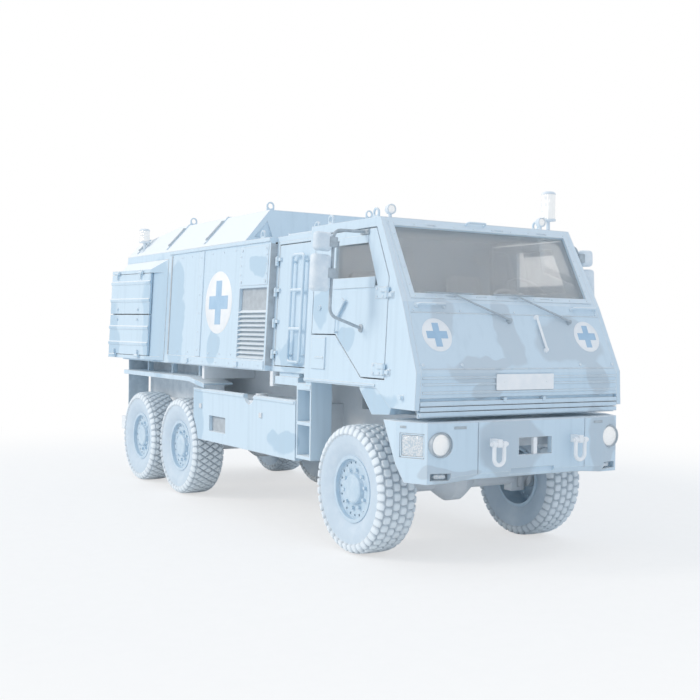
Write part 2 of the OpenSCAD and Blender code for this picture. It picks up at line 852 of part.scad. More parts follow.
// Louvre panel on the side: its frame in (y, z), the top of the slats, and their number
louvre_low = [1535, box_h(1545)];
louvre_high = [2120, box_h(2230)];
slat_top = box_h(2030);
slat_count = 11;
slat_pitch = (slat_top - louvre_low[1]) / slat_count;
module box_sides() {
    color(paint) from_axle() for (side = [LEFT, RIGHT]) on(side) {
        difference() {
            intersection() {
                side_plane() block([-box_wall, bay_end, 0], [0, box_rear_y, 4000]);
                block([0, 0, box_floor_z], [1500, 6000, box_eaves_z]);
            }
            side_plane() {
                block([-36, louvre_low[0], louvre_low[1]], [20, louvre_high[0], louvre_high[1]]);
                block([-8, 3885, box_floor_z + 95], [20, 3897, box_eaves_z - 50]);
            }
        }
        side_plane() {
            for (i = [0:slat_count - 1]) {
                z = louvre_low[1] + i * slat_pitch;
                translate([0, louvre_high[0], 0]) rotate([90, 0, 0])
                    linear_extrude(louvre_high[0] - louvre_low[0])
                    polygon([[-38, z + 26], [0, z + 2], [2, z + 8], [-38, z + 34]]);
            }
            block([0, louvre_low[0] - 5, box_h(2255)], [6, louvre_high[0], box_h(2630)]);
            for (y = [1570, 2080]) for (z = [box_h(2290), box_h(2600)]) {
                translate([6, y, z]) rotate([0, 90, 0]) cylinder(r = 14, h = 6, $fn = 24);
            }
            block([0, 3000, box_floor_z + 95], [10, 3120, box_eaves_z - 50]);
            block([0, bay_end + 20, box_floor_z + 10], [12, 3885, box_floor_z + 92]);
            for (y = [2090, 3310]) {
                block([12, y - 40, box_floor_z + 20], [30, y + 40, box_floor_z + 70]);
            }
            block([0, bay_end, box_eaves_z - 40], [16, 3960, box_eaves_z - 6]);
            for (z = rear_hinge_z) {
                translate([-box_wall, box_rear_y + hinge_out, z]) rotate([0, 0, 90]) hinge_pin(40);
            }
        }
    }
}

// The bay's own plane, set in from the main side
bay_front = box_front_y + 55;
bay_back = bay_end - 55;
bay_low = box_floor_z + box_wall;
bay_high = box_eaves_z - 70;
bay_hinge_z = [for (z = [1560, 1850, 2140, 2430]) box_h(z)];
bay_hinge_y = bay_back + 3;
module box_front() {
    color(paint) from_axle() {
        intersection() {
            block([-1500, box_front_y, bay_low], [1500, box_front_y + 50, box_eaves_z - box_wall]);
            between_sides(bay_inset, 0, 6000);
        }
        for (side = [LEFT, RIGHT]) on(side) {
            intersection() {
                side_plane() translate([-bay_inset, 0, 0]) union() {
                    block([-box_wall, box_front_y + 50, 0], [0, bay_front, 4000]);
                    block([-box_wall, bay_back, 0], [0, bay_end, 4000]);
                    block([-box_wall, bay_front, bay_high], [0, bay_back, 4000]);
                }
                block([0, 0, bay_low], [1500, 6000, box_eaves_z - box_wall]);
            }
            side_plane() for (z = bay_hinge_z) {
                translate([hinge_out - bay_inset, bay_hinge_y, z]) mirror([0, 1, 0]) hinge_pin(40);
            }
        }
    }
}

roof_line = [
    [roof_front, box_eaves_z],
    [box_rear_y, box_eaves_z],
    [box_rear_y, between(box_eaves_z, roof_top_z, 0.485)],
    [box_rear_y - 950, roof_top_z],
    [roof_front + 60, roof_top_z]
];
roof_half = 700;
roof_section = [
    [-wall_x(box_eaves_z, 0), box_eaves_z],
    [wall_x(box_eaves_z, 0), box_eaves_z],
    [roof_half, roof_top_z],
    [-roof_half, roof_top_z]
];
module roof_solid(line, section) {
    intersection() {
        slab(line, 3000, -1500);
        translate([0, 6000, 0]) rotate([90, 0, 0]) linear_extrude(6000) polygon(section);
    }
}
batten_y = [3100, 4150, 5100];
module box_roof() {
    line_in = inset(roof_line, box_wall);
    section_in = inset(roof_section, box_wall);
    color(paint) from_axle() {
        difference() {
            roof_solid(roof_line, roof_section);
            roof_solid(line_in, section_in);
            translate([0, 0, box_eaves_z - 10]) block(
                [-wall_x(box_eaves_z, box_wall), roof_front + 50, 0],
                [wall_x(box_eaves_z, box_wall), box_rear_y - 50, 10 + box_wall]
            );
            for (side = [LEFT, RIGHT]) on(side) {
                translate([0, roof_front + 45, 0]) rotate([90, 0, 0]) linear_extrude(100)
                    polygon([[690, box_eaves_z + 40], [900, box_eaves_z + 40], [740, roof_top_z - 120]]);
            }
        }
        for (y = batten_y) {
            difference() {
                intersection() {
                    roof_solid(inset(roof_line, -12), inset(roof_section, -12));
                    block([-1500, y - 18, box_eaves_z + 40], [1500, y + 18, 4000]);
                }
                roof_solid(inset(roof_line, 20), inset(roof_section, 20));
            }
        }
        intersection() {
            block([-1500, box_front_y, box_eaves_z - box_wall], [1500, bay_end, box_eaves_z]);
            between_sides(bay_inset, 0, 6000);
        }
        intersection() {
            block([-1500, bay_end, box_eaves_z - box_wall], [1500, roof_front + 50, box_eaves_z]);
            between_sides(box_wall, 0, 6000);
        }
    }
}

// Side doors in the bay, hinged at the back, with a ladder frame
// Ladder frame on a bay door: front and rear posts in y, foot and head in z
ladder_y = [895, 1110];
ladder_z = [box_h(1540), box_h(2510)];
ladder_out = 44;
module side_door(side) {
    line = [
        [bay_front, bay_low],
        [bay_back, bay_low],
        [bay_back, bay_high],
        [bay_front, bay_high]
    ];
    color(paint) from_axle() on(side) side_plane() translate([-bay_inset, 0, 0]) {
        slab(inset(line, shut_gap), box_wall, -box_wall);
        for (z = bay_hinge_z) {
            translate([hinge_out, bay_hinge_y, z]) mirror([0, 1, 0]) hinge_barrel(60);
        }
        for (y = ladder_y) {
            bar([ladder_out, y, ladder_z[0] + 40], [ladder_out, y, ladder_z[1] - 40], 14);
            for (z = [ladder_z[0] + 60, ladder_z[1] - 60]) {
                translate([0, y, z]) rotate([0, 90, 0]) cylinder(r = 12, h = ladder_out, $fn = 24);
            }
        }
        for (z = [ladder_z[0], box_h(1840), box_h(2190), ladder_z[1]]) {
            inner = z == ladder_z[0] || z == ladder_z[1] ? 40 : 0;
            bar([ladder_out, ladder_y[0] + inner, z], [ladder_out, ladder_y[1] - inner, z], 14);
        }
        for (i = [0:3]) {
            y = i % 2 == 0 ? ladder_y[0] + 40 : ladder_y[1] - 40;
            z = i < 2 ? ladder_z[0] + 40 : ladder_z[1] - 40;
            turn = [180, 270, 90, 0][i];
            translate([ladder_out, y, z]) rotate([90, 0, 90]) rotate(turn) rotate_extrude(angle = 90, $fn = 48)
                translate([40, 0]) circle(r = 14, $fn = 24);
        }
    }
}
module side_door_left() { side_door(LEFT); }
module side_door_right() { side_door(RIGHT); }

// Rear doors between the side walls, hinged at their outer edges
module rear_door(side) {
    color(paint) from_axle() on(side) {
        intersection() {
            block([7, box_rear_y - 50, bay_low + shut_gap], [1500, box_rear_y, box_eaves_z - shut_gap]);
            between_sides(box_wall + shut_gap, 0, 6000);
        }
        for (z = [box_h(1700), box_h(2060), box_h(2420)]) {
            block([150, box_rear_y, z], [800, box_rear_y + 12, z + 60]);
        }
        side_plane() for (z = rear_hinge_z) {
            translate([-box_wall, box_rear_y + hinge_out, z]) rotate([0, 0, 90]) hinge_barrel(80);
        }
        translate([80, box_rear_y, box_h(1990)]) rotate([0, -90, 0]) rotate([-90, 0, 0]) grab(110, 46, 11);
    }
}
module rear_door_left() { rear_door(LEFT); }
module rear_door_right() { rear_door(RIGHT); }

// Rear side lockers: in the side plane, with a flared outer face that two lids close
locker_front = 4000;
locker_bend = 4330;
locker_back = 5330;
locker_bend_out = 80;
locker_low = box_h(1460);
locker_high = box_h(2510);
flare = atan2(locker_out - locker_bend_out, locker_back - locker_bend);
face_len = (locker_back - locker_bend) / cos(flare);
lid_t = 26;
lid_gap = 6;
lid_front = 0;
lid_back = face_len;
pocket_front = 70;
pocket_back = face_len - 60;
lid_low = box_h(1500);
lid_mid = box_h(1985);
lid_high = box_h(2470);
lid_axis_out = 22;
lid_axis_up = 4;
hinge_sunk = 3;
lid_hinge_y = [180, 780];
module locker_face() {
    translate([locker_bend_out, locker_bend, 0]) rotate([0, 0, -flare]) children();
}
function locker_depth(y) = (locker_bend_out + y * sin(flare)) / cos(flare);

// A hinge along the face: x is out of it, z turned to run along y
module along_face(y, z) {
    translate([lid_axis_out, y, z]) rotate([-90, 0, 0]) children();
}
module lid_pin() {
    cylinder(r = 16, h = barrel_h);
    cylinder(r = pin_r, h = 2 * barrel_h + 8);
}
module lid_barrel() {
    translate([0, 0, barrel_h + running_gap]) difference() {
        cylinder(r = 16, h = barrel_h);
        translate([0, 0, -1]) cylinder(r = pin_r + pin_gap, h = barrel_h + 2);
    }
}
module lockers() {
    color(paint) from_axle() for (side = [LEFT, RIGHT]) on(side) side_plane() {
        difference() {
            intersection() {
                translate([0, 0, 1000]) linear_extrude(2000) polygon([
                    [0, locker_front],
                    [locker_bend_out, locker_bend],
                    [locker_out, locker_back],
                    [0, locker_back]
                ]);
                translate([0, 6000, 0]) rotate([90, 0, 0]) linear_extrude(6000) polygon([
                    [0, locker_low],
                    [250, locker_low],
                    [250, locker_high],
                    [locker_bend_out, locker_high],
                    [0, locker_high + 110]
                ]);
            }
            locker_face() {
                translate([0, 0, lid_low + 30]) linear_extrude(lid_high - lid_low - 60) polygon([
                    [50, pocket_front],
                    [50, pocket_back],
                    [20 - locker_depth(pocket_back), pocket_back],
                    [20 - locker_depth(pocket_front), pocket_front]
                ]);
                block([-lid_t - lid_gap, -400, lid_low], [100, face_len + 200, lid_high]);
            }
        }
        locker_face() for (y = lid_hinge_y) {
            along_face(y, lid_high + lid_axis_up) lid_pin();
            block([-hinge_sunk, y + 4, lid_high + lid_axis_up], [lid_axis_out, y + barrel_h - 4, lid_high + 30]);
            along_face(y, lid_low - lid_axis_up) lid_pin();
            block([-hinge_sunk, y + 4, lid_low - 30], [lid_axis_out, y + barrel_h - 4, lid_low - lid_axis_up]);
        }
    }
}

// Beads across the lids: heights of their middles
upper_beads = [box_h(2150), box_h(2358)];
lower_beads = [box_h(1636), box_h(1825)];
// One lid of a locker: the upper one hangs from its top edge, the lower one from its foot
module lid(side, low, high, axis_z, leaf, beads) {
    color(paint) from_axle() on(side) side_plane() locker_face() {
        block([-lid_t, lid_front + 2, low + lid_gap], [0, lid_back - 2, high - lid_gap]);
        for (y = lid_hinge_y) {
            along_face(y, axis_z) lid_barrel();
            difference() {
                block(
                    [0, y + barrel_h + 4, leaf < 0 ? axis_z + leaf : low + lid_gap],
                    [lid_axis_out, y + 2 * barrel_h - 4, leaf < 0 ? high - lid_gap : axis_z + leaf]
                );
                along_face(y, axis_z) cylinder(r = pin_r + pin_gap, h = 3 * barrel_h);
            }
        }
        for (z = beads) {
            translate([0, lid_back - 2, 0]) rotate([90, 0, 0]) linear_extrude(lid_back - lid_front - 4)
                polygon([[-1, z - 26], [10, z - 16], [14, z + 14], [-1, z + 26]]);
        }
        for (y = [0.28, 0.8]) {
            latch_z = leaf < 0 ? low + 60 : high - 60;
            translate([0, y * face_len, latch_z]) rotate([0, 90, 0]) cylinder(r = 14, h = 16, $fn = 24);
        }
    }
}
module upper_lid_left() { lid(LEFT, lid_mid, lid_high, lid_high + lid_axis_up, -70, upper_beads); }
module upper_lid_right() { lid(RIGHT, lid_mid, lid_high, lid_high + lid_axis_up, -70, upper_beads); }
module lower_lid_left() { lid(LEFT, lid_low, lid_mid, lid_low - lid_axis_up, 70, lower_beads); }
module lower_lid_right() { lid(RIGHT, lid_low, lid_mid, lid_low - lid_axis_up, 70, lower_beads); }

// Plates over the wheels, and the flaps behind them
// Side view of a plate over the rear wheels, and of one that ends the front wheel arch
rear_plate = [[2900, 1235], [3300, 1290], [5320, 1290], [5320, 1310], [3300, 1310], [2900, 1255]];
rear_lip = [[2900, 1206], [3300, 1260], [5320, 1260], [5320, 1290], [3300, 1290], [2900, 1235]];
front_plate = [[-343, 1170], [-160, 1360], [-160, sill_z], [-416, sill_z], [-616, 1240], [-590, 1185]];
module fenders() {
    color(paint) from_axle() for (side = [LEFT, RIGHT]) on(side) {
        slab(rear_plate, 340, 710);
        slab(rear_lip, 12, 1038);
        for (y = [3420, 4200, 4960]) {
            block([800, y, 1310], [860, y + 50, box_floor_z]);
        }
        difference() {
            slab(front_plate, 240, 810);
            slab(inset(front_plate, 14), 220, 800);
        }
    }
}
module mudflaps() {
    color(rubber) from_axle() for (side = [LEFT, RIGHT]) on(side) {
        block([720, 5334, 700], [980, 5346, box_floor_z]);
    }
}

// Beacons: one at the left of the cab roof, one at the right rear of the box
module beacon_body(h) {
    cylinder(r = 46, h = 14, $fn = 48);
    cylinder(r = 18, h = 80, $fn = 32);
    translate([0, 0, 70]) cylinder(r = 66, h = 22, $fn = 48);
    translate([0, 0, 92]) cylinder(r = 60, h = h - 116, $fn = 48);
    translate([0, 0, h - 24]) cylinder(r1 = 64, r2 = 40, h = 24, $fn = 48);
}
module beacons() {
    color(lamp_white) from_axle() {
        translate([890, -210, cab_roof_z]) beacon_body(360);
        for (x = [-840, 760]) translate([x, -250, cab_roof_z]) {
            cylinder(r = 20, h = 40, $fn = 32);
            translate([0, 40, 75]) rotate([90, 0, 0]) cylinder(r = 42, h = 70, $fn = 32);
        }
        difference() {
            union() {
                translate([-920, 5000, box_eaves_z + 70]) beacon_body(270);
                block([-960, 4960, box_eaves_z + 10], [-880, 5040, box_eaves_z + 72]);
            }
            roof_solid(roof_line, roof_section);
        }
    }
}

eye_r = 28;
module lifting_eye() {
    difference() {
        union() {
            block([-42, -8, 0], [42, 8, 62]);
            translate([0, 8, 62]) rotate([90, 0, 0]) cylinder(r = 42, h = 16, $fn = 48);
            block([-60, -40, 0], [60, 40, 8]);
        }
        translate([0, 20, 62]) rotate([90, 0, 0]) cylinder(r = eye_r, h = 40, $fn = 48);
    }
}
module roof_fittings() {
    color(dark) from_axle() for (side = [LEFT, RIGHT]) on(side) {
        for (y = [-80, 640]) {
            translate([860, y, cab_roof_z]) rotate([0, 0, 90]) lifting_eye();
        }
        for (y = [900, 1960]) {
            translate([850, y, box_eaves_z]) rotate([0, 0, 90]) lifting_eye();
        }
        for (y = [2300, 4250]) {
            translate([600, y, roof_top_z]) lifting_eye();
        }
        translate([700, 1400, box_eaves_z]) rotate([0, 0, 90]) grab(300, 44, 13);
        translate([500, 300, cab_roof_z]) rotate([0, 0, 90]) grab(110, 44, 11);
    }
}

// Rear step beam on hangers, with a tow jaw in the middle: its pin is stepped, thinner in the lower cheek
jaw_r = 22;
jaw_step = 4;
jaw_y = rear_end - 40;
// The slot between the cheeks: foot and head
jaw_slot = [615, 665];
beam_z = [560, 720];
module rear_step() {
    color(dark) from_axle() {
        difference() {
            union() {
                block([-1000, beam_front, beam_z[0]], [1000, beam_back, beam_z[1]]);
                block([-90, beam_front + 20, beam_z[0]], [90, rear_end, beam_z[1]]);
            }
            block([-70, jaw_y - 40, jaw_slot[0]], [70, rear_end + 10, jaw_slot[1]]);
            translate([0, jaw_y, jaw_slot[1] - 10]) cylinder(r = jaw_r, h = 200);
            translate([0, jaw_y, 500]) cylinder(r = jaw_r - jaw_step, h = jaw_slot[0] + 10 - 500);
            for (side = [LEFT, RIGHT]) on(side) {
                block([700, beam_back - 15, 600], [960, beam_back + 10, 690]);
            }
        }
        for (side = [LEFT, RIGHT]) on(side) {
            block([rail_in, beam_front, beam_z[1]], [rail_out, beam_back, rail_z]);
            for (x = [750, 830, 910]) {
                translate([x, beam_back - 20, 645]) rotate([-90, 0, 0]) cylinder(r = 32, h = 26, $fn = 32);
            }
        }
        for (x = [-300:60:300]) {
            block([x - 12, beam_front + 10, beam_z[1]], [x + 12, beam_back - 10, beam_z[1] + 8]);
        }
    }
}

chassis_rails();
crossmembers();
driveline();
engine_block();
front_axle();
rear_axles();
fuel_tanks();
tank_covers();
cab_floor();
cab_sides();
cab_back();
cab_roof();
cab_nose();
windshield();
grille();
front_bumper();
front_lamps();
tow_shackles();
nose_fittings();
cab_seats();
dashboard();
cab_steps();
box_floor();
box_sides();
box_front();
box_roof();
lockers();
fenders();
mudflaps();
beacons();
roof_fittings();
rear_step();
cab_door_left();
door_glass_left();
mirror_left();
cab_door_right();
door_glass_right();
mirror_right();
side_door_left();
side_door_right();
rear_door_left();
rear_door_right();
upper_lid_left();
lower_lid_left();
upper_lid_right();
lower_lid_right();
knuckle_left();
knuckle_right();
tyre_front_left();
tyre_front_right();
tyre_middle_left();
tyre_middle_right();
tyre_rear_left();
tyre_rear_right();
rim_front_left();
rim_front_right();
rim_middle_left();
rim_middle_right();
rim_rear_left();
rim_rear_right();
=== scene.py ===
"""Looks of a six-wheeled ambulance truck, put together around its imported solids."""
import math

import bmesh
import bpy
import numpy as np
from mathutils import Matrix, Vector


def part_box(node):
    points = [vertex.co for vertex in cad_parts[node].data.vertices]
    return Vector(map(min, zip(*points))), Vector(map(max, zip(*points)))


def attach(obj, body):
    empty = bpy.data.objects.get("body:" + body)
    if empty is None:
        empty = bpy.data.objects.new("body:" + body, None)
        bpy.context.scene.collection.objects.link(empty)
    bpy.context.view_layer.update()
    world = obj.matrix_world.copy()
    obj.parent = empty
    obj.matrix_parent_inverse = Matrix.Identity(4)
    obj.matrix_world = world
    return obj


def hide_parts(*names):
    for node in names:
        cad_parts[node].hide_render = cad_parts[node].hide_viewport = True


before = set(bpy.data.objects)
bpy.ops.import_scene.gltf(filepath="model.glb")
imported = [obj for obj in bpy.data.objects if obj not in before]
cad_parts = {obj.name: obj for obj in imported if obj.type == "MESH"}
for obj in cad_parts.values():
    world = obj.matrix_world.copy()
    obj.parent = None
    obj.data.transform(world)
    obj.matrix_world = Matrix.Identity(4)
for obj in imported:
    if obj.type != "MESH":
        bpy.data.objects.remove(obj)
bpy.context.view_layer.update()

# The stage: a pale floor that fades out to white, under an even cool sky.
# One weak warm lamp from the vehicle's right stands for the low sun, and one view is set up
# from its right front, at eye height and with a slight tilt.
scene = bpy.context.scene
scene.view_settings.view_transform = "Standard"
axle_y = sum(corner.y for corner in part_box("rim_front_left")) / 2


def feed(tree, made, inputs):
    """Fills a node's inputs, by name or number: a socket is linked, and any other value is set."""
    for key, value in inputs.items():
        if isinstance(value, bpy.types.NodeSocket):
            tree.links.new(value, made.inputs[key])
        else:
            made.inputs[key].default_value = value


def node(tree, kind, inputs=None, **settings):
    """One shader node: settings are its own options, inputs are values or sockets to link."""
    made = tree.nodes.new("ShaderNode" + kind)
    for key, value in settings.items():
        setattr(made, key, value)
    feed(tree, made, inputs or {})
    return made


def maths(tree, operation, *terms):
    """The result of one sum on up to three numbers or sockets."""
    return node(tree, "Math", dict(enumerate(terms)), operation=operation).outputs[0]


def srgb(*levels):
    """A colour of levels from 0 to 255, as linear red, green, blue and a full alpha."""
    share = np.array(levels) / 255
    linear = np.where(share < 0.04045, share / 12.92, ((share + 0.055) / 1.055) ** 2.4)
    return (*linear.tolist(), 1.0)


def seen_directly(tree):
    """1 for rays that come from the camera, a reflection or through glass, and 0 for light."""
    path = node(tree, "LightPath")
    seen = maths(tree, "MAXIMUM", path.outputs["Is Camera Ray"], path.outputs["Is Glossy Ray"])
    return maths(tree, "MAXIMUM", seen, path.outputs["Is Transmission Ray"])


WHITE = {"Color": (1, 1, 1, 1), "Strength": 1.0}
SKY = {"Color": (0.85, 0.915, 1.0, 1.0), "Strength": 0.86}
world = bpy.data.worlds.new("open_sky")
scene.world = world
world.use_nodes = True
sky_tree = world.node_tree
sky_tree.nodes.clear()
sky_light = node(sky_tree, "Background", SKY).outputs[0]
sky_view = node(sky_tree, "Background", WHITE).outputs[0]
sky_mix = node(sky_tree, "MixShader", {0: seen_directly(sky_tree), 1: sky_light, 2: sky_view})
node(sky_tree, "OutputWorld", {0: sky_mix.outputs[0]})

sun_data = bpy.data.lights.new("low_sun", "SUN")
sun_data.energy = 1.15
sun_data.color = (1.0, 0.89, 0.78)
sun_data.angle = math.radians(18)
sun = bpy.data.objects.new("low_sun", sun_data)
sun_from = Vector((-0.86, 0.35, 0.52))
sun.rotation_euler = sun_from.to_track_quat("Z", "Y").to_euler()
scene.collection.objects.link(sun)

camera_data = bpy.data.cameras.new("camera")
camera_data.sensor_width = 36.0
camera_data.lens = 54.23
camera = bpy.data.objects.new("camera", camera_data)
camera_place = Vector((-5.587, axle_y - 7.312, 1.821))
camera_turn = math.radians(31.84)
camera_dip = math.radians(1.0)
camera_roll = math.radians(0.82)
camera.matrix_world = (
    Matrix.Translation(camera_place)
    @ Matrix.Rotation(-camera_turn, 4, "Z")
    @ Matrix.Rotation(math.pi / 2 - camera_dip, 4, "X")
    @ Matrix.Rotation(camera_roll, 4, "Z")
)
scene.collection.objects.link(camera)
scene.camera = camera


def grid(points, around=False, along=False):
    """Corners and four-sided faces of a sheet of points (rows, columns, 3).
    around joins the last column to the first, and along joins the last row to the first."""
    rows, columns = points.shape[:2]
    index = np.arange(rows * columns).reshape(rows, columns)
    if along:
        index = np.concatenate([index, index[:1]], axis=0)
    if around:
        index = np.concatenate([index, index[:, :1]], axis=1)
    faces = np.stack([index[:-1, :-1], index[:-1, 1:], index[1:, 1:], index[1:, :-1]], axis=-1)
    return points.reshape(-1, 3), faces.reshape(-1, 4)


def piece(name, shapes, sharp=40.0, closed=True):
    """A mesh object at the origin from a list of (corners, faces). Doubled corners are merged, which
    closes seams and poles, faces are turned outwards, and edges past the sharp angle stay sharp."""
    corners = np.concatenate([c for c, f in shapes])
    starts = np.cumsum([0] + [len(c) for c, f in shapes[:-1]])
    faces = np.concatenate([f + s for (c, f), s in zip(shapes, starts)])
    mesh = bpy.data.meshes.new(name)
    mesh.from_pydata(corners.tolist(), [], faces.tolist())
    shell = bmesh.new()
    shell.from_mesh(mesh)
    bmesh.ops.remove_doubles(shell, verts=shell.verts, dist=1e-6)
    bmesh.ops.dissolve_degenerate(shell, edges=shell.edges, dist=1e-7)
    if closed:
        bmesh.ops.recalc_face_normals(shell, faces=shell.faces)
    shell.to_mesh(mesh)
    shell.free()
    mesh.shade_smooth()
    mesh.set_sharp_from_angle(angle=math.radians(sharp))
    made = bpy.data.objects.new(name, mesh)
    scene.collection.objects.link(made)
    return made


def new_material(name):
    """An empty node material, as (material, its tree, its principled shader, Object coordinates)."""
    made = bpy.data.materials.new(name)
    made.use_nodes = True
    tree = made.node_tree
    tree.nodes.clear()
    shader = node(tree, "BsdfPrincipled")
    node(tree, "OutputMaterial", {0: shader.outputs[0]})
    return made, tree, shader, node(tree, "TexCoord").outputs["Object"]


def noise(tree, place, scale, detail, roughness=0.5):
    """Soft noise from 0 to 1, about that many clouds a metre."""
    inputs = {"Vector": place, "Scale": scale, "Detail": detail, "Roughness": roughness}
    return node(tree, "TexNoise", inputs).outputs["Fac"]


def ramp(tree, value, low, high, top=1.0, kind="LINEAR"):
    """Takes low to 0 and high to top, and holds what lies past them."""
    return node(tree, "MapRange", {0: value, 1: low, 2: high, 4: top}, interpolation_type=kind).outputs[0]


FLOOR_HALF = 60.0
FLOOR_FADE = (4.6, 9.5)
FLOOR_GLOW = 0.62
SOIL_COLOURS = (srgb(232, 236, 238), srgb(246, 248, 249))
floor_line = np.linspace(-FLOOR_HALF, FLOOR_HALF, 9)
floor_x, floor_y = np.meshgrid(floor_line, floor_line)
floor = piece("floor", [grid(np.stack([floor_x, floor_y, np.zeros_like(floor_x)], axis=-1))], closed=False)
floor_look, tree, shader, place = new_material("pale_floor")
soil = node(tree, "ValToRGB", {0: noise(tree, place, 7.0, 8.0, 0.7)})
for stop, colour in zip(soil.color_ramp.elements, SOIL_COLOURS):
    stop.color = colour
feed(tree, shader, {"Base Color": soil.outputs[0], "Roughness": 0.95})
reach = node(tree, "VectorMath", {0: place}, operation="LENGTH").outputs["Value"]
fade = ramp(tree, reach, *FLOOR_FADE, kind="SMOOTHSTEP")
bright = maths(tree, "MULTIPLY_ADD", fade, 1 - FLOOR_GLOW, FLOOR_GLOW)
hidden_edge = maths(tree, "MULTIPLY", bright, seen_directly(tree))
white = node(tree, "Emission", WHITE)
faded = node(tree, "MixShader", {0: hidden_edge, 1: shader.outputs[0], 2: white.outputs[0]})
feed(tree, tree.nodes["Material Output"], {0: faded.outputs[0]})
floor.data.materials.append(floor_look)

# The chassis: two rails with crossmembers, engine, driveline, axles, tanks and the rear step.
# They are welded and cast steel under one matt grey coat, dusty low down, and a little paler on its edges
# as a painted highlight, partly rubbed paint.
UNDERBODY_GREY = srgb(230, 235, 239)
UNDERBODY_DUST = srgb(239, 243, 246)
# Edges turn to this colour: a painted highlight, partly rubbed paint.
UNDERBODY_EDGE_WEAR_AND_HIGHLIGHT = srgb(232, 240, 245)


def smooth_edges(tree, width):
    """A normal that rounds every edge by that width, and how near an edge the point is, from 0 to 1."""
    rounded = node(tree, "Bevel", {"Radius": width}, samples=4).outputs[0]
    flat = node(tree, "NewGeometry").outputs["True Normal"]
    level = node(tree, "VectorMath", {0: rounded, 1: flat}, operation="DOT_PRODUCT").outputs["Value"]
    return rounded, ramp(tree, level, 0.995, 0.80)


def emboss(tree, shader, height, depth, strength, normal=None, invert=False):
    """Raises the surface by a height from 0 to 1 times the depth, on a rounded normal if one is given."""
    inputs = {"Height": height, "Distance": depth, "Strength": strength}
    if normal is not None:
        inputs["Normal"] = normal
    feed(tree, shader, {"Normal": node(tree, "Bump", inputs, invert=invert).outputs[0]})


def grain_bump(tree, shader, place, scale, depth, normal=None):
    """Fine unevenness of a coat: noise of that scale raises the surface by that depth, and is given back."""
    grain = noise(tree, place, scale, 3.0)
    emboss(tree, shader, grain, depth, 0.5, normal)
    return grain


def blend_colour(tree, share, first, second):
    """Mixes two colours, given as values or sockets, by a share from 0 to 1."""
    return node(tree, "Mix", {0: share, 6: first, 7: second}, data_type="RGBA").outputs[2]


def dusty_coat(name, paint, dust, worn, edges, cloud, gather, grain, rough):
    """Paint under dust, which lies where noise of a cloud (scale, roughness) rises through the gather range.
    edges is (width, share) of the worn colour, which pales every edge as a painted highlight and rubbed
    paint, grain is (scale, depth), and roughness is rough[0] times the grain plus rough[1]."""
    look, tree, shader, place = new_material(name)
    rounded, edge = smooth_edges(tree, edges[0])
    dusty = ramp(tree, noise(tree, place, cloud[0], 6.0, cloud[1]), *gather)
    colour = blend_colour(tree, dusty, paint, dust)
    # Every edge turns to the worn colour: a painted highlight, partly rubbed paint.
    colour = blend_colour(tree, maths(tree, "MULTIPLY", edge, edges[1]), colour, worn)
    uneven = grain_bump(tree, shader, place, *grain, rounded)
    feed(tree, shader, {"Base Color": colour, "Roughness": maths(tree, "MULTIPLY_ADD", uneven, *rough)})
    return look


def dress(look, *names):
    """Gives the named solids that material."""
    for name in names:
        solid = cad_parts[name]
        solid.data.materials.clear()
        solid.data.materials.append(look)


coat = dusty_coat(
    "underbody_coat", UNDERBODY_GREY, UNDERBODY_DUST, UNDERBODY_EDGE_WEAR_AND_HIGHLIGHT,
    edges=(0.006, 0.5), cloud=(3.0, 0.65), gather=(0.40, 0.65), grain=(220.0, 0.0006), rough=(0.3, 0.5),
)
dress(coat, "chassis_rails", "crossmembers", "driveline", "engine_block", "front_axle", "rear_axles")
dress(coat, "fuel_tanks", "knuckle_left", "knuckle_right", "rear_step")

# Coil springs: bars of round spring steel wound around the spring columns above each axle.
# Each sits between the axle tube and the rail, and is left in the chassis coat.
ROWS = ("front", "middle", "rear")
SIDES = {"left": 1, "right": -1}
SPRING_TURNS = 6.5
SPRING_RADIUS = 0.074
SPRING_BAR = 0.011
SPRING_X = 0.350
# Foot and head above the wheel's middle
SPRING_FOOT = 0.085
SPRING_HEAD = 0.355


def tube(path, radius, normal, ring=12):
    """A round bar along a path of points: each ring of corners stands square to the path, and is
    turned so that one of its directions lies along the given normal. Its ends close to a point."""
    path = np.asarray(path, float)
    ahead = np.gradient(path, axis=0)
    ahead /= np.linalg.norm(ahead, axis=1, keepdims=True)
    normal = np.broadcast_to(np.asarray(normal, float), path.shape)
    side = np.cross(normal, ahead)
    side /= np.linalg.norm(side, axis=1, keepdims=True)
    up = np.cross(ahead, side)
    turn = np.linspace(0, 2 * math.pi, ring, endpoint=False)
    radius = np.broadcast_to(np.asarray(radius, float), len(path))[:, None, None]
    around = side[:, None] * np.cos(turn)[None, :, None] + up[:, None] * np.sin(turn)[None, :, None]
    rings = path[:, None] + radius * around
    ends = np.repeat(path[[0, -1], None], ring, axis=1)
    return grid(np.concatenate([ends[:1], rings, ends[1:]]), around=True)


def wheel_middle(row, side):
    """The middle of a wheel, from its rim's box."""
    low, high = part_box(f"rim_{row}_{side}")
    return np.array((low + high) / 2)


def spring_path(hub, sign):
    """A helix about an upright line: it rises evenly from foot to head over all its turns."""
    turn = np.linspace(0, 2 * math.pi * SPRING_TURNS, 150)
    x = sign * SPRING_X + SPRING_RADIUS * np.cos(turn)
    y = hub[1] + SPRING_RADIUS * np.sin(turn)
    return np.stack([x, y, np.linspace(hub[2] + SPRING_FOOT, hub[2] + SPRING_HEAD, len(turn))], axis=1)


def add_piece(made, look, slot, *replaced, body="vehicle"):
    """Finishes a piece: its material, the body that carries it, and the solids it stands for. The slot is not
    used.
    """
    made.data.materials.append(look)
    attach(made, body)
    if replaced:
        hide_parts(*replaced)


springs = []
for row in ROWS:
    for sign in SIDES.values():
        springs.append(tube(spring_path(wheel_middle(row, "left"), sign), SPRING_BAR, (0, 0, 1), 8))
add_piece(piece("coil_springs", springs), coat, "underbody_paint")

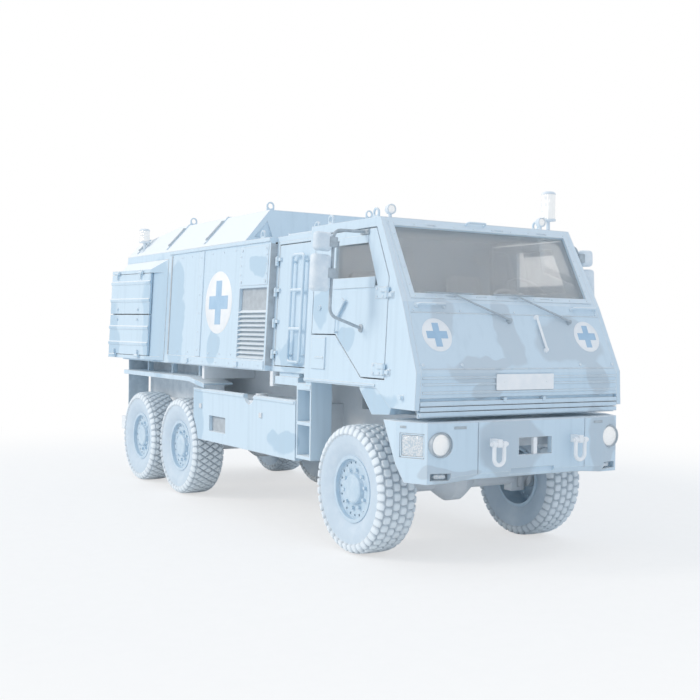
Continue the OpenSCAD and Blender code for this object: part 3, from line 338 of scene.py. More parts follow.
# The tyres: cross-country tyres of faded rubber, moulded over a belted carcass.
# The front pair has staggered rows of rounded cobbles, the rear four have diamond lugs, and each
# is held on its rim by its two beads.
BLOCKS_AROUND = 42
TURN_STEPS = 10 * BLOCKS_AROUND
BLOCK_HALF = 0.405
LUG_HEIGHT = 0.019
TREAD_REACH = 0.205
ROW_MIDDLES = np.array([-0.168, -0.102, -0.034, 0.034, 0.102, 0.168])
ROW_HALVES = np.array([0.031, 0.028, 0.028, 0.028, 0.028, 0.031])
DIAMOND_REACH = 0.136
DIAMOND_WIDTH = 0.116
# Thin rings on the wall: distance along the section from the crown, width and height
WALL_RINGS = [(0.262, 0.007, 0.0035), (0.352, 0.009, 0.0045)]
RUBBER_TOP = srgb(236, 244, 249)
# The grooves take this darker colour: painted shade.
RUBBER_GROOVE_SHADE = srgb(192, 202, 210)
RUBBER_WALL = srgb(202, 217, 229)
RUBBER_DUST = srgb(232, 240, 246)
# Half of the carcass, from the crown to the bead: distance from the wheel's middle, and radius
CARCASS = [
    (0.000, 0.5105), (0.070, 0.5095), (0.124, 0.5045), (0.149, 0.4900), (0.161, 0.4620), (0.1680, 0.4180),
    (0.1630, 0.3700), (0.1490, 0.3250), (0.1330, 0.2960), (0.1270, 0.2790), (0.1250, 0.2632),
]


def smooth_curve(points, count):
    """A Catmull-Rom curve through the points: each stretch is a cubic whose slope at a point is half
    the step between that point's neighbours. It is sampled count times, evenly along the points."""
    held = np.asarray(points, float)
    held = np.concatenate([2 * held[:1] - held[1:2], held, 2 * held[-1:] - held[-2:-1]])
    run = np.linspace(0, len(points) - 1, count)
    index = np.minimum(run.astype(int), len(points) - 2)
    u = (run - index)[:, None]
    a, b, c, d = held[index], held[index + 1], held[index + 2], held[index + 3]
    return 0.5 * (2 * b + (c - a) * u + (2 * a - 5 * b + 4 * c - d) * u**2 + (3 * b - a - 3 * c + d) * u**3)


def tyre_outline():
    """The closed section of a tyre as (distance out, radius), its outward normals, and the length along
    it from the crown. The tread is sampled finely, the walls coarsely, and the foot runs bead to bead."""
    half = smooth_curve(CARCASS, 400)
    length = np.concatenate([[0], np.cumsum(np.linalg.norm(np.diff(half, axis=0), axis=1))])
    marks = np.concatenate([np.linspace(0, TREAD_REACH, 40), np.linspace(TREAD_REACH, length[-1], 13)[1:]])
    half = np.stack([np.interp(marks, length, half[:, k]) for k in (0, 1)], axis=1)
    section = np.concatenate([half[:0:-1] * (-1, 1), half])
    across = np.concatenate([-marks[:0:-1], marks])
    slope = np.gradient(section, axis=0)
    slope /= np.linalg.norm(slope, axis=1, keepdims=True)
    return section, np.stack([-slope[:, 1], slope[:, 0]], axis=1), across


def lug_rise(turn, across, diamonds):
    """How far the rubber stands up, from 0 in a groove to 1 on a lug. A cobble is a rounded square,
    staggered by half a block from row to row. A diamond lies between two families of slanting grooves."""
    row = np.abs(across[..., None] - ROW_MIDDLES).argmin(-1)
    along = BLOCKS_AROUND * turn / (2 * math.pi)
    block = np.abs((along + 0.5 * (row % 2)) % 1 - 0.5)
    lane = np.abs(across - ROW_MIDDLES[row]) / ROW_HALVES[row]
    inside = ((block / BLOCK_HALF) ** 4 + lane**4) ** 0.25
    if diamonds:
        first = np.abs((along + across / DIAMOND_WIDTH) % 1 - 0.5)
        second = np.abs((along - across / DIAMOND_WIDTH) % 1 - 0.5)
        inside = np.where(np.abs(across) < DIAMOND_REACH, np.maximum(first, second) / BLOCK_HALF, inside)
    rise = np.clip((1.10 - inside) / 0.20, 0, 1)
    return rise * rise * (3 - 2 * rise) * (np.abs(across) < TREAD_REACH)


def bell(distance, width):
    """A smooth bump: exp(-(distance / width)^2), which is 1 at no distance."""
    return np.exp(-((distance / width) ** 2))


def tyre(name, hub, diamonds):
    """A tyre about a wheel's middle: the section is carried round the axle, and pushed out along its own
    normal by the lugs and by two thin rings on each wall. groove and wall are stored for the colour, and
    the groove share paints the grooves darker as painted shade."""
    section, normal, across = tyre_outline()
    turn = np.linspace(0, 2 * math.pi, TURN_STEPS, endpoint=False)
    around, side = np.meshgrid(turn, across, indexing="ij")
    rise = lug_rise(around, side, diamonds)
    rings = sum(height * bell(np.abs(side) - at, width) for at, width, height in WALL_RINGS)
    push = LUG_HEIGHT * rise + rings
    out = section[:, 0] + push * normal[:, 0]
    radius = section[:, 1] + push * normal[:, 1]
    points = [hub[0] + out, hub[1] + radius * np.sin(around), hub[2] - radius * np.cos(around)]
    made = piece(name, [grid(np.stack(points, axis=-1), around=True, along=True)], sharp=60.0)
    tread = np.abs(side) < TREAD_REACH
    for label, share in (("groove", np.where(tread, 1 - rise, 0)), ("wall", 1.0 - tread)):
        stored = made.data.attributes.new(label, "FLOAT", "POINT")
        stored.data.foreach_set("value", share.ravel().astype(np.float32))
    return made


def rubber_look():
    """Sun-faded rubber: grooves are darker as painted shade, walls are darker, dust lies in patches,
    and the skin is finely pitted.
    """
    look, tree, shader, place = new_material("faded_rubber")
    groove = node(tree, "Attribute", attribute_name="groove").outputs["Fac"]
    wall = node(tree, "Attribute", attribute_name="wall").outputs["Fac"]
    # Grooves darken: painted shade between the lugs.
    colour = blend_colour(tree, groove, RUBBER_TOP, RUBBER_GROOVE_SHADE)
    colour = blend_colour(tree, wall, colour, RUBBER_WALL)
    dust = ramp(tree, noise(tree, place, 9.0, 5.0, 0.6), 0.45, 0.75, 0.30)
    colour = blend_colour(tree, dust, colour, RUBBER_DUST)
    pits = grain_bump(tree, shader, place, 320.0, 0.0009)
    rough = maths(tree, "MULTIPLY_ADD", pits, 0.25, 0.68)
    feed(tree, shader, {"Base Color": colour, "Roughness": rough, "Specular IOR Level": 0.25})
    return look


rubber = rubber_look()
for row in ROWS:
    for side in SIDES:
        low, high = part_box(f"tyre_{row}_{side}")
        hub = np.array([(low.x + high.x) / 2, *wheel_middle(row, side)[1:]])
        made = tyre(f"tread_tyre_{row}_{side}", hub, row != "front")
        add_piece(made, rubber, "tyre", f"tyre_{row}_{side}", body=f"wheel_{row}_{side}")

# The rims: pressed steel discs, drilled all round, with ten wheel nuts about a flat hub cap.
# They wear the body's light paint, dusted over, and every edge is paler: a painted highlight, partly rubbed
# paint.
RIM_PAINT = srgb(192, 213, 228)
RIM_DUST = srgb(206, 223, 235)
# Edges turn to this colour: a painted highlight, partly rubbed paint.
RIM_EDGE_WEAR_AND_HIGHLIGHT = srgb(242, 247, 250)
rim_paint = dusty_coat(
    "rim_paint", RIM_PAINT, RIM_DUST, RIM_EDGE_WEAR_AND_HIGHLIGHT,
    edges=(0.004, 0.6), cloud=(14.0, 0.6), gather=(0.42, 0.68), grain=(260.0, 0.0005), rough=(0.25, 0.45),
)
dress(rim_paint, *(f"rim_{row}_{side}" for row in ROWS for side in SIDES))

# The painted body: cab, box, doors, lockers, fenders and bumper in sheet and armour steel.
# Three matt field colours were sprayed on by hand in soft-edged patches. Upward faces are lighter
# as painted light from above, edges are paler as a painted highlight, partly rubbed paint, and rain has left
# faint streaks.
FIELD_LIGHT = srgb(208, 227, 240)
FIELD_BLUE = srgb(187, 211, 228)
FIELD_GREY = srgb(195, 210, 221)
FIELD_STREAK = srgb(186, 206, 220)
# Upward faces turn to this pale colour: painted light from above.
FIELD_TOP_LIGHT = srgb(243, 248, 251)
# Edges turn to this colour: a painted highlight, partly rubbed paint.
FIELD_EDGE_WEAR_AND_HIGHLIGHT = srgb(246, 250, 252)
# Patches of the blue, as a middle measured from the front axle and three radii
BLUE_PATCHES = [
    ((-1.14, 4.18, 2.00), (0.34, 0.30, 0.78)),
    ((-1.03, 3.76, 2.25), (0.15, 0.20, 0.36)),
    ((-1.04, 3.68, 1.80), (0.15, 0.22, 0.42)),
    ((-1.05, 2.66, 1.63), (0.12, 0.17, 0.15)),
    ((-1.24, 5.24, 1.74), (0.14, 0.22, 0.42)),
    ((-1.03, 1.76, 2.45), (0.10, 0.22, 0.12)),
    ((-1.04, 0.06, 1.74), (0.10, 0.17, 0.12)),
    ((-1.04, 0.52, 2.06), (0.10, 0.13, 0.20)),
    ((-1.03, 1.15, 0.80), (0.08, 0.27, 0.13)),
    ((-1.03, 3.08, 0.96), (0.08, 0.20, 0.36)),
    ((-1.04, -0.42, 1.26), (0.08, 0.28, 0.14)),
    ((1.04, -0.42, 1.26), (0.08, 0.28, 0.14)),
    ((-0.98, 1.10, 1.60), (0.12, 0.20, 0.17)),
    ((1.05, 0.20, 2.00), (0.15, 0.25, 0.30)),
    ((1.05, 2.00, 1.80), (0.15, 0.30, 0.22)),
    ((1.05, 3.25, 2.25), (0.15, 0.30, 0.28)),
    ((1.20, 4.40, 1.70), (0.25, 0.28, 0.34)),
    ((1.22, 5.10, 2.30), (0.20, 0.20, 0.22)),
    ((1.03, 1.55, 0.84), (0.10, 0.32, 0.18)),
    ((-0.50, 5.35, 1.90), (0.30, 0.20, 0.34)),
    ((0.55, 5.35, 2.32), (0.25, 0.20, 0.28)),
]
# Patches of the grey, mostly on the nose and the bumper
GREY_PATCHES = [
    ((-0.66, -0.80, 1.95), (0.13, 0.30, 0.15)),
    ((-0.08, -0.82, 1.82), (0.12, 0.30, 0.30)),
    ((-0.42, -0.92, 1.57), (0.34, 0.20, 0.08)),
    ((0.55, -0.85, 1.73), (0.38, 0.30, 0.22)),
    ((0.76, -0.95, 1.45), (0.16, 0.20, 0.14)),
    ((-0.37, -0.95, 1.42), (0.20, 0.15, 0.09)),
    ((-0.20, -1.06, 0.94), (0.34, 0.15, 0.28)),
    ((-0.76, -1.03, 0.72), (0.25, 0.15, 0.07)),
    ((0.78, -1.02, 0.96), (0.20, 0.20, 0.25)),
    ((1.03, 2.75, 1.02), (0.10, 0.30, 0.15)),
    ((0.20, 5.35, 1.58), (0.30, 0.20, 0.12)),
    ((0.30, 1.20, 2.70), (0.45, 0.30, 0.10)),
]
PATCH_BEND = 0.34


def patch_share(tree, place, patches):
    """1 inside the patches and 0 outside: the distance to each middle is measured in the patch's own
    radii, the smallest one counts, and the edge is where it passes 1."""
    nearest = None
    for middle, radii in patches:
        inputs = {"Vector": place, "Location": (middle[0], middle[1] + axle_y, middle[2]), "Scale": radii}
        scaled = node(tree, "Mapping", inputs, vector_type="TEXTURE").outputs[0]
        gap = node(tree, "VectorMath", {0: scaled}, operation="LENGTH").outputs["Value"]
        nearest = gap if nearest is None else maths(tree, "MINIMUM", nearest, gap)
    return ramp(tree, nearest, 1.08, 0.94)


def field_paint_look():
    """The hand-sprayed field paint. Noise bends the patches' edges by up to a hand's width, stretched
    noise runs down as rain streaks, and faces that look up are lighter the more level they are: painted
    light from above."""
    look, tree, shader, place = new_material("field_paint")
    rounded, edge = smooth_edges(tree, 0.009)
    bend = node(tree, "TexNoise", {"Vector": place, "Scale": 2.8, "Detail": 2.0}).outputs["Color"]
    bend = node(tree, "VectorMath", {0: bend, 1: (0.5, 0.5, 0.5)}, operation="SUBTRACT").outputs[0]
    bend = node(tree, "VectorMath", {0: bend, "Scale": PATCH_BEND}, operation="SCALE").outputs[0]
    bent = node(tree, "VectorMath", {0: place, 1: bend}, operation="ADD").outputs[0]
    colour = blend_colour(tree, patch_share(tree, bent, BLUE_PATCHES), FIELD_LIGHT, FIELD_BLUE)
    colour = blend_colour(tree, patch_share(tree, bent, GREY_PATCHES), colour, FIELD_GREY)
    drawn_down = node(tree, "Mapping", {"Vector": place, "Scale": (16.0, 16.0, 1.1)}).outputs[0]
    streaks = ramp(tree, noise(tree, drawn_down, 1.0, 4.0), 0.50, 0.78, 0.35)
    colour = blend_colour(tree, streaks, colour, FIELD_STREAK)
    facing = node(tree, "NewGeometry").outputs["True Normal"]
    level = node(tree, "SeparateXYZ", {0: facing}).outputs["Z"]
    # The more level an upward face, the paler it turns: painted light from above.
    top_light_share = ramp(tree, level, 0.30, 0.68, 0.85, "SMOOTHSTEP")
    colour = blend_colour(tree, top_light_share, colour, FIELD_TOP_LIGHT)
    # Edges turn near white where the noise allows: a painted highlight, partly rubbed paint.
    wear = ramp(tree, noise(tree, place, 18.0, 4.0), 0.22, 0.52)
    colour = blend_colour(tree, maths(tree, "MULTIPLY", edge, wear), colour, FIELD_EDGE_WEAR_AND_HIGHLIGHT)
    grain = grain_bump(tree, shader, place, 420.0, 0.0004, rounded)
    rough = maths(tree, "MULTIPLY_ADD", grain, 0.25, 0.48)
    feed(tree, shader, {"Base Color": colour, "Roughness": rough, "Specular IOR Level": 0.35})
    return look


field_paint = field_paint_look()
dress(field_paint, "cab_floor", "cab_sides", "cab_back", "cab_roof", "cab_nose", "grille", "front_bumper")
dress(field_paint, "tank_covers", "fenders", "box_floor", "box_sides", "box_front", "box_roof", "lockers")
dress(field_paint, "roof_fittings", "cab_steps")
for leaf in ("cab_door", "side_door", "rear_door", "upper_lid", "lower_lid"):
    dress(field_paint, *(f"{leaf}_{side}" for side in SIDES))

# The window glass: flat armoured panes in the windscreen and both doors, clamped in their frames.
# They are clear with a cool tint, and a film of dust dulls them, more on the windscreen.
GLASS_CLEAR = srgb(244, 248, 250)
GLASS_DUSTY = srgb(250, 252, 253)


def pane_look(name, film_share):
    """Tinted glass under a film of dust in soft clouds, which keeps back its share of what lies behind."""
    look, tree, shader, place = new_material(name)
    film = ramp(tree, noise(tree, place, 4.0, 5.0), 0.35, 0.70)
    colour = blend_colour(tree, film, GLASS_CLEAR, GLASS_DUSTY)
    feed(tree, shader, {"Base Color": colour, "Roughness": maths(tree, "MULTIPLY_ADD", film, 0.05, 0.02)})
    feed(tree, shader, {"Transmission Weight": 0.74, "IOR": 1.45, "Alpha": film_share})
    return look


dress(pane_look("screen_glass", 0.50), "windshield")
dress(pane_look("door_glass", 0.30), "door_glass_left", "door_glass_right")

# The nose fittings: two wipers under the windscreen, grab handles, a stay rod and a number plate.
# Arms and handles are bent steel rod, the blades are rubber in thin carriers, and all are screwed
# through the nose panel. The plate is bare white enamel.
NOSE_FOOT = (-0.948, 1.520)
NOSE_HEAD = (-0.718, 2.058)
NOSE_LENGTH = math.dist(NOSE_FOOT, NOSE_HEAD)
SCREEN_HEAD = (-0.354, 2.735)
SCREEN_LENGTH = math.dist(NOSE_HEAD, SCREEN_HEAD)
# Wipers: the pivot's x, the blade's middle x and half its length
WIPERS = [(-0.030, -0.580, 0.230), (0.613, 0.070, 0.215)]
WIPER_PIVOT = NOSE_LENGTH - 0.150
PIVOT_CAP = [(0, 0), (0.022, 0), (0.020, 0.022), (0.012, 0.036), (0, 0.036)]
BLADE_UP = NOSE_LENGTH + 0.070
BLADE_OUT = 0.026
# The carrier and the blade: distance out and radius
BLADE_RODS = ((BLADE_OUT + 0.005, 0.0055), (BLADE_OUT - 0.006, 0.0040))
YOKE_SHARES = (-0.72, -0.26, 0.26, 0.72)
YOKE_SIZE = (0.016, 0.006, 0.003)
YOKE_RINGS = [(0.001, -0.006), (0, -0.004), (0, 0.008), (0.002, 0.010)]
HANDLE_X = (-0.780, 0.820)
HANDLE_HALF = 0.13
HANDLE_UP = NOSE_LENGTH - 0.030
# Handles: how far out, radius of the bends, and radius of the rod
HANDLE_ROD = (0.036, 0.030, 0.0105)
TOP_GRIP_ROD = (0.04, 0.022, 0.0095)
HANDLE_FOOT = [(0, 0), (0.024, 0), (0.022, 0.006), (0, 0.008)]
TOP_GRIP_X = (-0.161, 0.029)
ROD_TOP = (0.264, NOSE_LENGTH - 0.112)
ROD_FOOT = (0.280, 0.185)
ROD_OUT = 0.020
ROD_RADIUS = 0.011
ROD_BOSS = [(0, 0), (0.020, 0), (0.019, 0.012), (0.014, 0.028), (0.008, 0.034), (0, 0.034)]
PLATE_SIZE = (0.297, 0.063, 0.010)
PLATE_RINGS = [(0, 0.0085), (0, 0.012), (0.002, 0.014), (0.008, 0.0145)]
PLATE_MIDDLE = 1.444
PLATE_SCREW_X = (-0.22, 0.22)
PLATE_SCREW = [(0, -0.002), (0.007, 0), (0.006, 0.003), (0, 0.004)]


def plane(origin, across, up, out):
    """Makes a function that carries points (across, up, out) to the frame: origin, which is given as (x, y
    from the front axle, z), plus the three distances along the three directions."""
    axes = np.array([across, up, out], float)
    start = np.array(origin, float) + (0, axle_y, 0)
    return lambda points: np.asarray(points, float) @ axes + start


def unit(start, end):
    """The direction from one point to another, of length 1."""
    run = np.subtract(end, start)
    return run / np.linalg.norm(run)


def slope(foot, head):
    """A plane across the vehicle that rises from foot to head, both given as (y from the front axle, z)."""
    y, z = unit(foot, head)
    return plane((0, *foot), (1, 0, 0), (0, y, z), (0, -z, y))


def facing_front(x, y, z):
    """An upright plane that looks forwards."""
    return plane((x, y, z), (1, 0, 0), (0, 0, 1), (0, -1, 0))


def shift(carry, across, up, out=0.0):
    """The same carrying function with its middle moved."""
    return lambda points: carry(np.asarray(points, float) + (across, up, out))


def heading(carry, *step):
    """The direction of one step on a carried plane, in the frame."""
    return carry(step) - carry((0, 0, 0))


def straight(ends, low, high, count):
    """Even points on the line through two ends, from share low to share high."""
    return ends[0] + (ends[1] - ends[0]) * np.linspace(low, high, count)[:, None]


def rounded_path(points, radius, steps=6):
    """A path whose corners are rounded: each corner becomes a quadratic curve that starts and ends at
    radius from it, or half way to its neighbour where that is nearer."""
    points = np.asarray(points, float)
    share = np.linspace(0, 1, steps)[:, None]
    path = [points[:1]]
    for before, corner, after in zip(points, points[1:], points[2:]):
        back, ahead = before - corner, after - corner
        start = corner + back * min(radius / np.linalg.norm(back), 0.5)
        end = corner + ahead * min(radius / np.linalg.norm(ahead), 0.5)
        path.append((1 - share) ** 2 * start + 2 * share * (1 - share) * corner + share**2 * end)
    path.append(points[-1:])
    return np.concatenate(path)


def grip(carry, low, high, up, out, bend, radius):
    """A handle of bent rod: it stands out at low, runs across at that distance, and goes back in at high."""
    line = [(low, up, 0), (low, up, out), (high, up, out), (high, up, 0)]
    return tube(carry(rounded_path(line, bend)), radius, heading(carry, 0, 1, 0), 12)


def rounded_outline(half_w, half_h, corner, inset=0.0, steps=8):
    """A rectangle with quarter circles for corners, drawn in by an inset, as points (across, up)."""
    corner = max(corner - inset, 0.0005)
    half_w, half_h = half_w - inset, half_h - inset
    quarter = np.linspace(0, math.pi / 2, steps)
    turn = np.concatenate([quarter + k * math.pi / 2 for k in range(4)])
    middle_x = np.repeat([half_w - corner, corner - half_w, corner - half_w, half_w - corner], steps)
    middle_y = np.repeat([half_h - corner, half_h - corner, corner - half_h, corner - half_h], steps)
    return np.stack([middle_x + corner * np.cos(turn), middle_y + corner * np.sin(turn)], axis=1)


def outline_rings(half_w, half_h, corner, steps):
    """Rounded outlines as (across, up, out), one for each step of (inset, distance out)."""
    outlines = [(rounded_outline(half_w, half_h, corner, inset), out) for inset, out in steps]
    return np.stack([np.column_stack([ring, np.full(len(ring), out)]) for ring, out in outlines])


def plate(carry, half_w, half_h, corner, steps):
    """A closed plate in rings: each step is (inset, distance out) of a rounded outline, and the first
    and last rings close to their middles. carry takes (across, up, out) to the frame."""
    rings = outline_rings(half_w, half_h, corner, steps)
    ends = [np.broadcast_to((0.0, 0.0, steps[k][1]), rings[0].shape) for k in (0, -1)]
    return grid(carry(np.stack([ends[0], *rings, ends[1]])), around=True)


def lathe(carry, profile, turns=40, loop=False):
    """A turned shape: a profile of (radius, distance out) is carried round the out axis. With loop the
    profile closes on itself as a ring, and otherwise it starts and ends on the axis."""
    profile = np.asarray(profile, float)
    turn = np.linspace(0, 2 * math.pi, turns, endpoint=False)
    radius, out = profile[:, 0, None], np.broadcast_to(profile[:, 1, None], (len(profile), turns))
    return grid(carry(np.stack([radius * np.cos(turn), radius * np.sin(turn), out], axis=-1)), True, loop)


def plain_look(name, light, dark, scale, grain_scale, grain_depth, rough):
    """A finish of one hue: it drifts between a light and a dark shade in clouds of that scale, with fine
    grain, and edges turn towards the light shade as a painted highlight."""
    look, tree, shader, place = new_material(name)
    rounded, edge = smooth_edges(tree, 0.003)
    share = ramp(tree, noise(tree, place, scale, 5.0, 0.6), 0.36, 0.66)
    # Edges lean to the light shade: a painted highlight.
    share = maths(tree, "MAXIMUM", maths(tree, "MULTIPLY", edge, 0.8), share)
    grain = grain_bump(tree, shader, place, grain_scale, grain_depth, rounded)
    uneven = maths(tree, "MULTIPLY_ADD", grain, 0.2, rough)
    feed(tree, shader, {"Base Color": blend_colour(tree, share, dark, light), "Roughness": uneven})
    return look


nose = slope(NOSE_FOOT, NOSE_HEAD)
nose_out = heading(nose, 0, 0, 1)
screen = slope(NOSE_HEAD, SCREEN_HEAD)
flat_front = facing_front(0, NOSE_FOOT[0], 0)
dark_plastic = plain_look(
    "weathered_plastic", srgb(186, 197, 205), srgb(166, 177, 185), 30.0, 500.0, 0.0003, 0.4
)
white_enamel = plain_look("white_enamel", srgb(250, 251, 252), srgb(240, 244, 247), 9.0, 300.0, 0.0002, 0.3)
wiper_parts = []
for pivot_x, blade_x, blade_half in WIPERS:
    arm = nose([(pivot_x, WIPER_PIVOT, 0.026), (blade_x, BLADE_UP, BLADE_OUT + 0.012)])
    wiper_parts.append(tube(straight(arm, 0, 1, 12), np.linspace(0.010, 0.006, 12), nose_out, 10))
    wiper_parts.append(lathe(shift(nose, pivot_x, WIPER_PIVOT), PIVOT_CAP, 24))
    reach = np.linspace(-blade_half, blade_half, 24)
    for out, radius in BLADE_RODS:
        line = np.stack([blade_x + reach, np.full(24, BLADE_UP), np.full(24, out)], axis=1)
        wiper_parts.append(tube(nose(line), radius, nose_out, 8))
    for share in YOKE_SHARES:
        spot = shift(nose, blade_x + share * blade_half, BLADE_UP, BLADE_OUT)
        wiper_parts.append(plate(spot, *YOKE_SIZE, YOKE_RINGS))
add_piece(piece("wipers", wiper_parts), dark_plastic, "dark_plastic", "nose_fittings")

handles = []
for x in HANDLE_X:
    handles.append(grip(nose, x - HANDLE_HALF, x + HANDLE_HALF, HANDLE_UP, *HANDLE_ROD))
    for end in (-HANDLE_HALF, HANDLE_HALF):
        handles.append(lathe(shift(nose, x + end, HANDLE_UP), HANDLE_FOOT, 20))
handles.append(grip(screen, *TOP_GRIP_X, SCREEN_LENGTH - 0.020, *TOP_GRIP_ROD))
add_piece(piece("nose_handles", handles), field_paint, "body_paint")

ends = nose([(*ROD_TOP, ROD_OUT), (*ROD_FOOT, ROD_OUT)])
rod = [tube(straight(ends, -0.03, 1.03, 10), ROD_RADIUS, nose_out, 12)]
rod += [lathe(shift(nose, *end), ROD_BOSS, 20) for end in (ROD_TOP, ROD_FOOT)]
add_piece(piece("stay_rod", rod), white_enamel, "white_steel")

number_plate = [plate(shift(flat_front, 0, PLATE_MIDDLE), *PLATE_SIZE, PLATE_RINGS)]
plate_screws = [shift(flat_front, x, PLATE_MIDDLE, PLATE_RINGS[-1][1]) for x in PLATE_SCREW_X]
number_plate += [lathe(spot, PLATE_SCREW, 12) for spot in plate_screws]
add_piece(piece("number_plate", number_plate), white_enamel, "white_steel")

# The painted marks: plain white discs on the nose and on both sides of the box, each with a cross.
# They are thin plates, riveted flat and enamelled, with the cross laid on top in blue.
SIDE_FACE = 1.060
SILL_HEIGHT = 1.380
SIDE_LEAN = math.radians(2.6)
NOSE_DISC_X = (-0.78, 0.78)
NOSE_DISC_UP = (1.806 - NOSE_FOOT[1]) / (NOSE_HEAD[1] - NOSE_FOOT[1]) * NOSE_LENGTH
SIDE_DISC = (2.60, 2.10)
# The disc's radius, and the cross's reach and half an arm's width
NOSE_MARK = (0.137, 0.098, 0.030)
SIDE_MARK = (0.320, 0.225, 0.068)
CROSS_LOW = 0.0025
CROSS_HIGH = 0.0042


def leaning_side(sign):
    """A side wall, on the left for 1 and on the right for -1: carries (y from the front axle, height in the
    wall's own plane, distance out). The wall turns in by its lean about the sill."""
    lean, rise = math.sin(SIDE_LEAN), math.cos(SIDE_LEAN)
    origin = (sign * (SIDE_FACE + SILL_HEIGHT * lean), 0, SILL_HEIGHT - SILL_HEIGHT * rise)
    return plane(origin, (0, 1, 0), (-sign * lean, 0, rise), (sign * rise, 0, lean))


def disc(carry, radius):
    """A thin round plate with a soft edge."""
    return lathe(carry, [(0, 0), (radius, 0), (radius, 0.0016), (radius - 0.0012, 0.0026), (0, 0.0030)], 72)


def cross(carry, reach, half):
    """A thin equal-armed cross: twelve corners, each arm twice half wide, drawn from its middle."""
    arm = np.array([[reach, -half], [reach, half], [half, half]])
    turned = [arm @ np.array([[c, s], [-s, c]]) for c, s in ((1, 0), (0, 1), (-1, 0), (0, -1))]
    corners = np.concatenate(turned)
    steps = ((0, CROSS_LOW), (1, CROSS_LOW), (1, CROSS_HIGH), (0, CROSS_HIGH))
    rings = [np.column_stack([corners * k, np.full(12, out)]) for k, out in steps]
    return grid(carry(np.stack(rings)), around=True)


mark_places = [(shift(nose, x, NOSE_DISC_UP), *NOSE_MARK) for x in NOSE_DISC_X]
mark_places += [(shift(leaning_side(sign), *SIDE_DISC), *SIDE_MARK) for sign in SIDES.values()]
discs = [disc(spot, radius) for spot, radius, reach, half in mark_places]
crosses = [cross(spot, reach, half) for spot, radius, reach, half in mark_places]
mark_blue = plain_look("mark_blue", srgb(176, 206, 230), srgb(166, 198, 224), 12.0, 300.0, 0.0002, 0.4)
add_piece(piece("white_discs", discs), white_enamel, "white_steel")
add_piece(piece("disc_crosses", crosses), mark_blue, "body_paint")

# The bumper lamps: a round headlamp, a square corner lamp and a fog lamp on each side, sunk in the bumper.
# A headlamp is a fluted glass dome over a bright bowl in a plastic ring, a corner lamp is a pebbled lens
# under a screwed steel frame, and the fog lamp sits in one of the bumper's dark slots.
HEADLAMP = (0.870, -1.024, 0.985)
HEADLAMP_RING = [
    (0.0945, -0.070), (0.0945, 0.003), (0.091, 0.008), (0.084, 0.006), (0.081, -0.004), (0.081, -0.070),
]
BOWL_RADIUS = 0.0805
HEADLAMP_LENS = (0.0825, 0.016)
BULB = [(0, -0.058), (0.010, -0.056), (0.012, -0.040), (0.009, -0.030), (0, -0.027)]
FLUTE_PITCH = 0.011
# Ends of the bumper's facets as (x, y from the front axle)
PANEL_START = (0.560, -1.060)
PANEL_END = (0.800, -1.040)
CORNER_START = (0.975, -0.990)
CORNER_END = (1.090, -0.740)
CORNER_LAMP = (0.1325, 0.9725)
CORNER_FRAME = (0.1055, 0.0905, 0.012, 0.011, -0.030, -0.004)
CORNER_SCREWS = [(x, y, -0.010) for x in (-0.080, 0.080) for y in (-0.066, 0.066)]
CORNER_SCREW = (0.006, 0.006)
CORNER_LENS = (0.0940, 0.0790, 0.006)
CORNER_RINGS = [(0, -0.030), (0, -0.014), (0.004, -0.009), (0.030, -0.007)]
# Slots: distance along the panel or the corner, height, and half sizes
PANEL_SLOT = (0.151, 1.1115, 0.054, 0.011)
CORNER_SLOT = (0.209, 1.1100, 0.028, 0.010)
SLOT_RINGS = [(0, -0.001), (0, 0.0015), (0.002, 0.003)]
FOG_LAMP = (0.073, 0.745)
FOG_SLOT = (0.086, 0.033, 0.003)
FOG_SLOT_RINGS = [(0, -0.064), (0, -0.060), (0.004, -0.058)]
FOG_LENS = (0.050, 0.019, 0.018)
FOG_RINGS = [(0, -0.060), (0, -0.036), (0.003, -0.030), (0.012, -0.027)]


def facet(sign, start, end):
    """The bumper's upright facet from start to end, on the left for 1 and on the right for -1: carries
    (distance along, height, distance out)."""
    x, y = unit(start, end)
    return plane((sign * start[0], start[1], 0), (sign * x, y, 0), (0, 0, 1), (sign * y, -x, 0))


def fluted_dome(carry, radius, rise):
    """A lens: its front is a shallow bowl of the given rise, rippled by upright flutes, on a flat back."""
    share = np.linspace(0, 1, 20)[:, None]
    turn = np.linspace(0, 2 * math.pi, 80, endpoint=False)
    across, up = radius * share * np.cos(turn), radius * share * np.sin(turn)
    flute = 0.0009 * np.cos(2 * math.pi * across / FLUTE_PITCH) * (1 - share**6)
    front = np.stack([across, up, rise * (1 - share**2) + flute + 0.002], axis=-1)
    back = np.stack([across, up, np.zeros_like(across) - 0.002], axis=-1)[::-1]
    return grid(carry(np.concatenate([front, back])), around=True)


def frame_ring(carry, half_w, half_h, corner, width, low, high):
    """A flat frame with rounded corners: a rectangular section carried round between two outlines."""
    soft = high - 0.002
    section = [(0, low), (0, soft), (0.002, high), (width - 0.002, high), (width, soft), (width, low)]
    return grid(carry(outline_rings(half_w, half_h, corner, section)), around=True, along=True)


def spots(carry, places, radius, height):
    """Screw or bolt heads at places (across, up, out): low six-sided domes with a chamfered edge."""
    profile = [(0, 0), (radius, 0), (radius, 0.6 * height), (0.75 * radius, height), (0, height)]
    return [lathe(shift(carry, *spot), profile, 6) for spot in places]


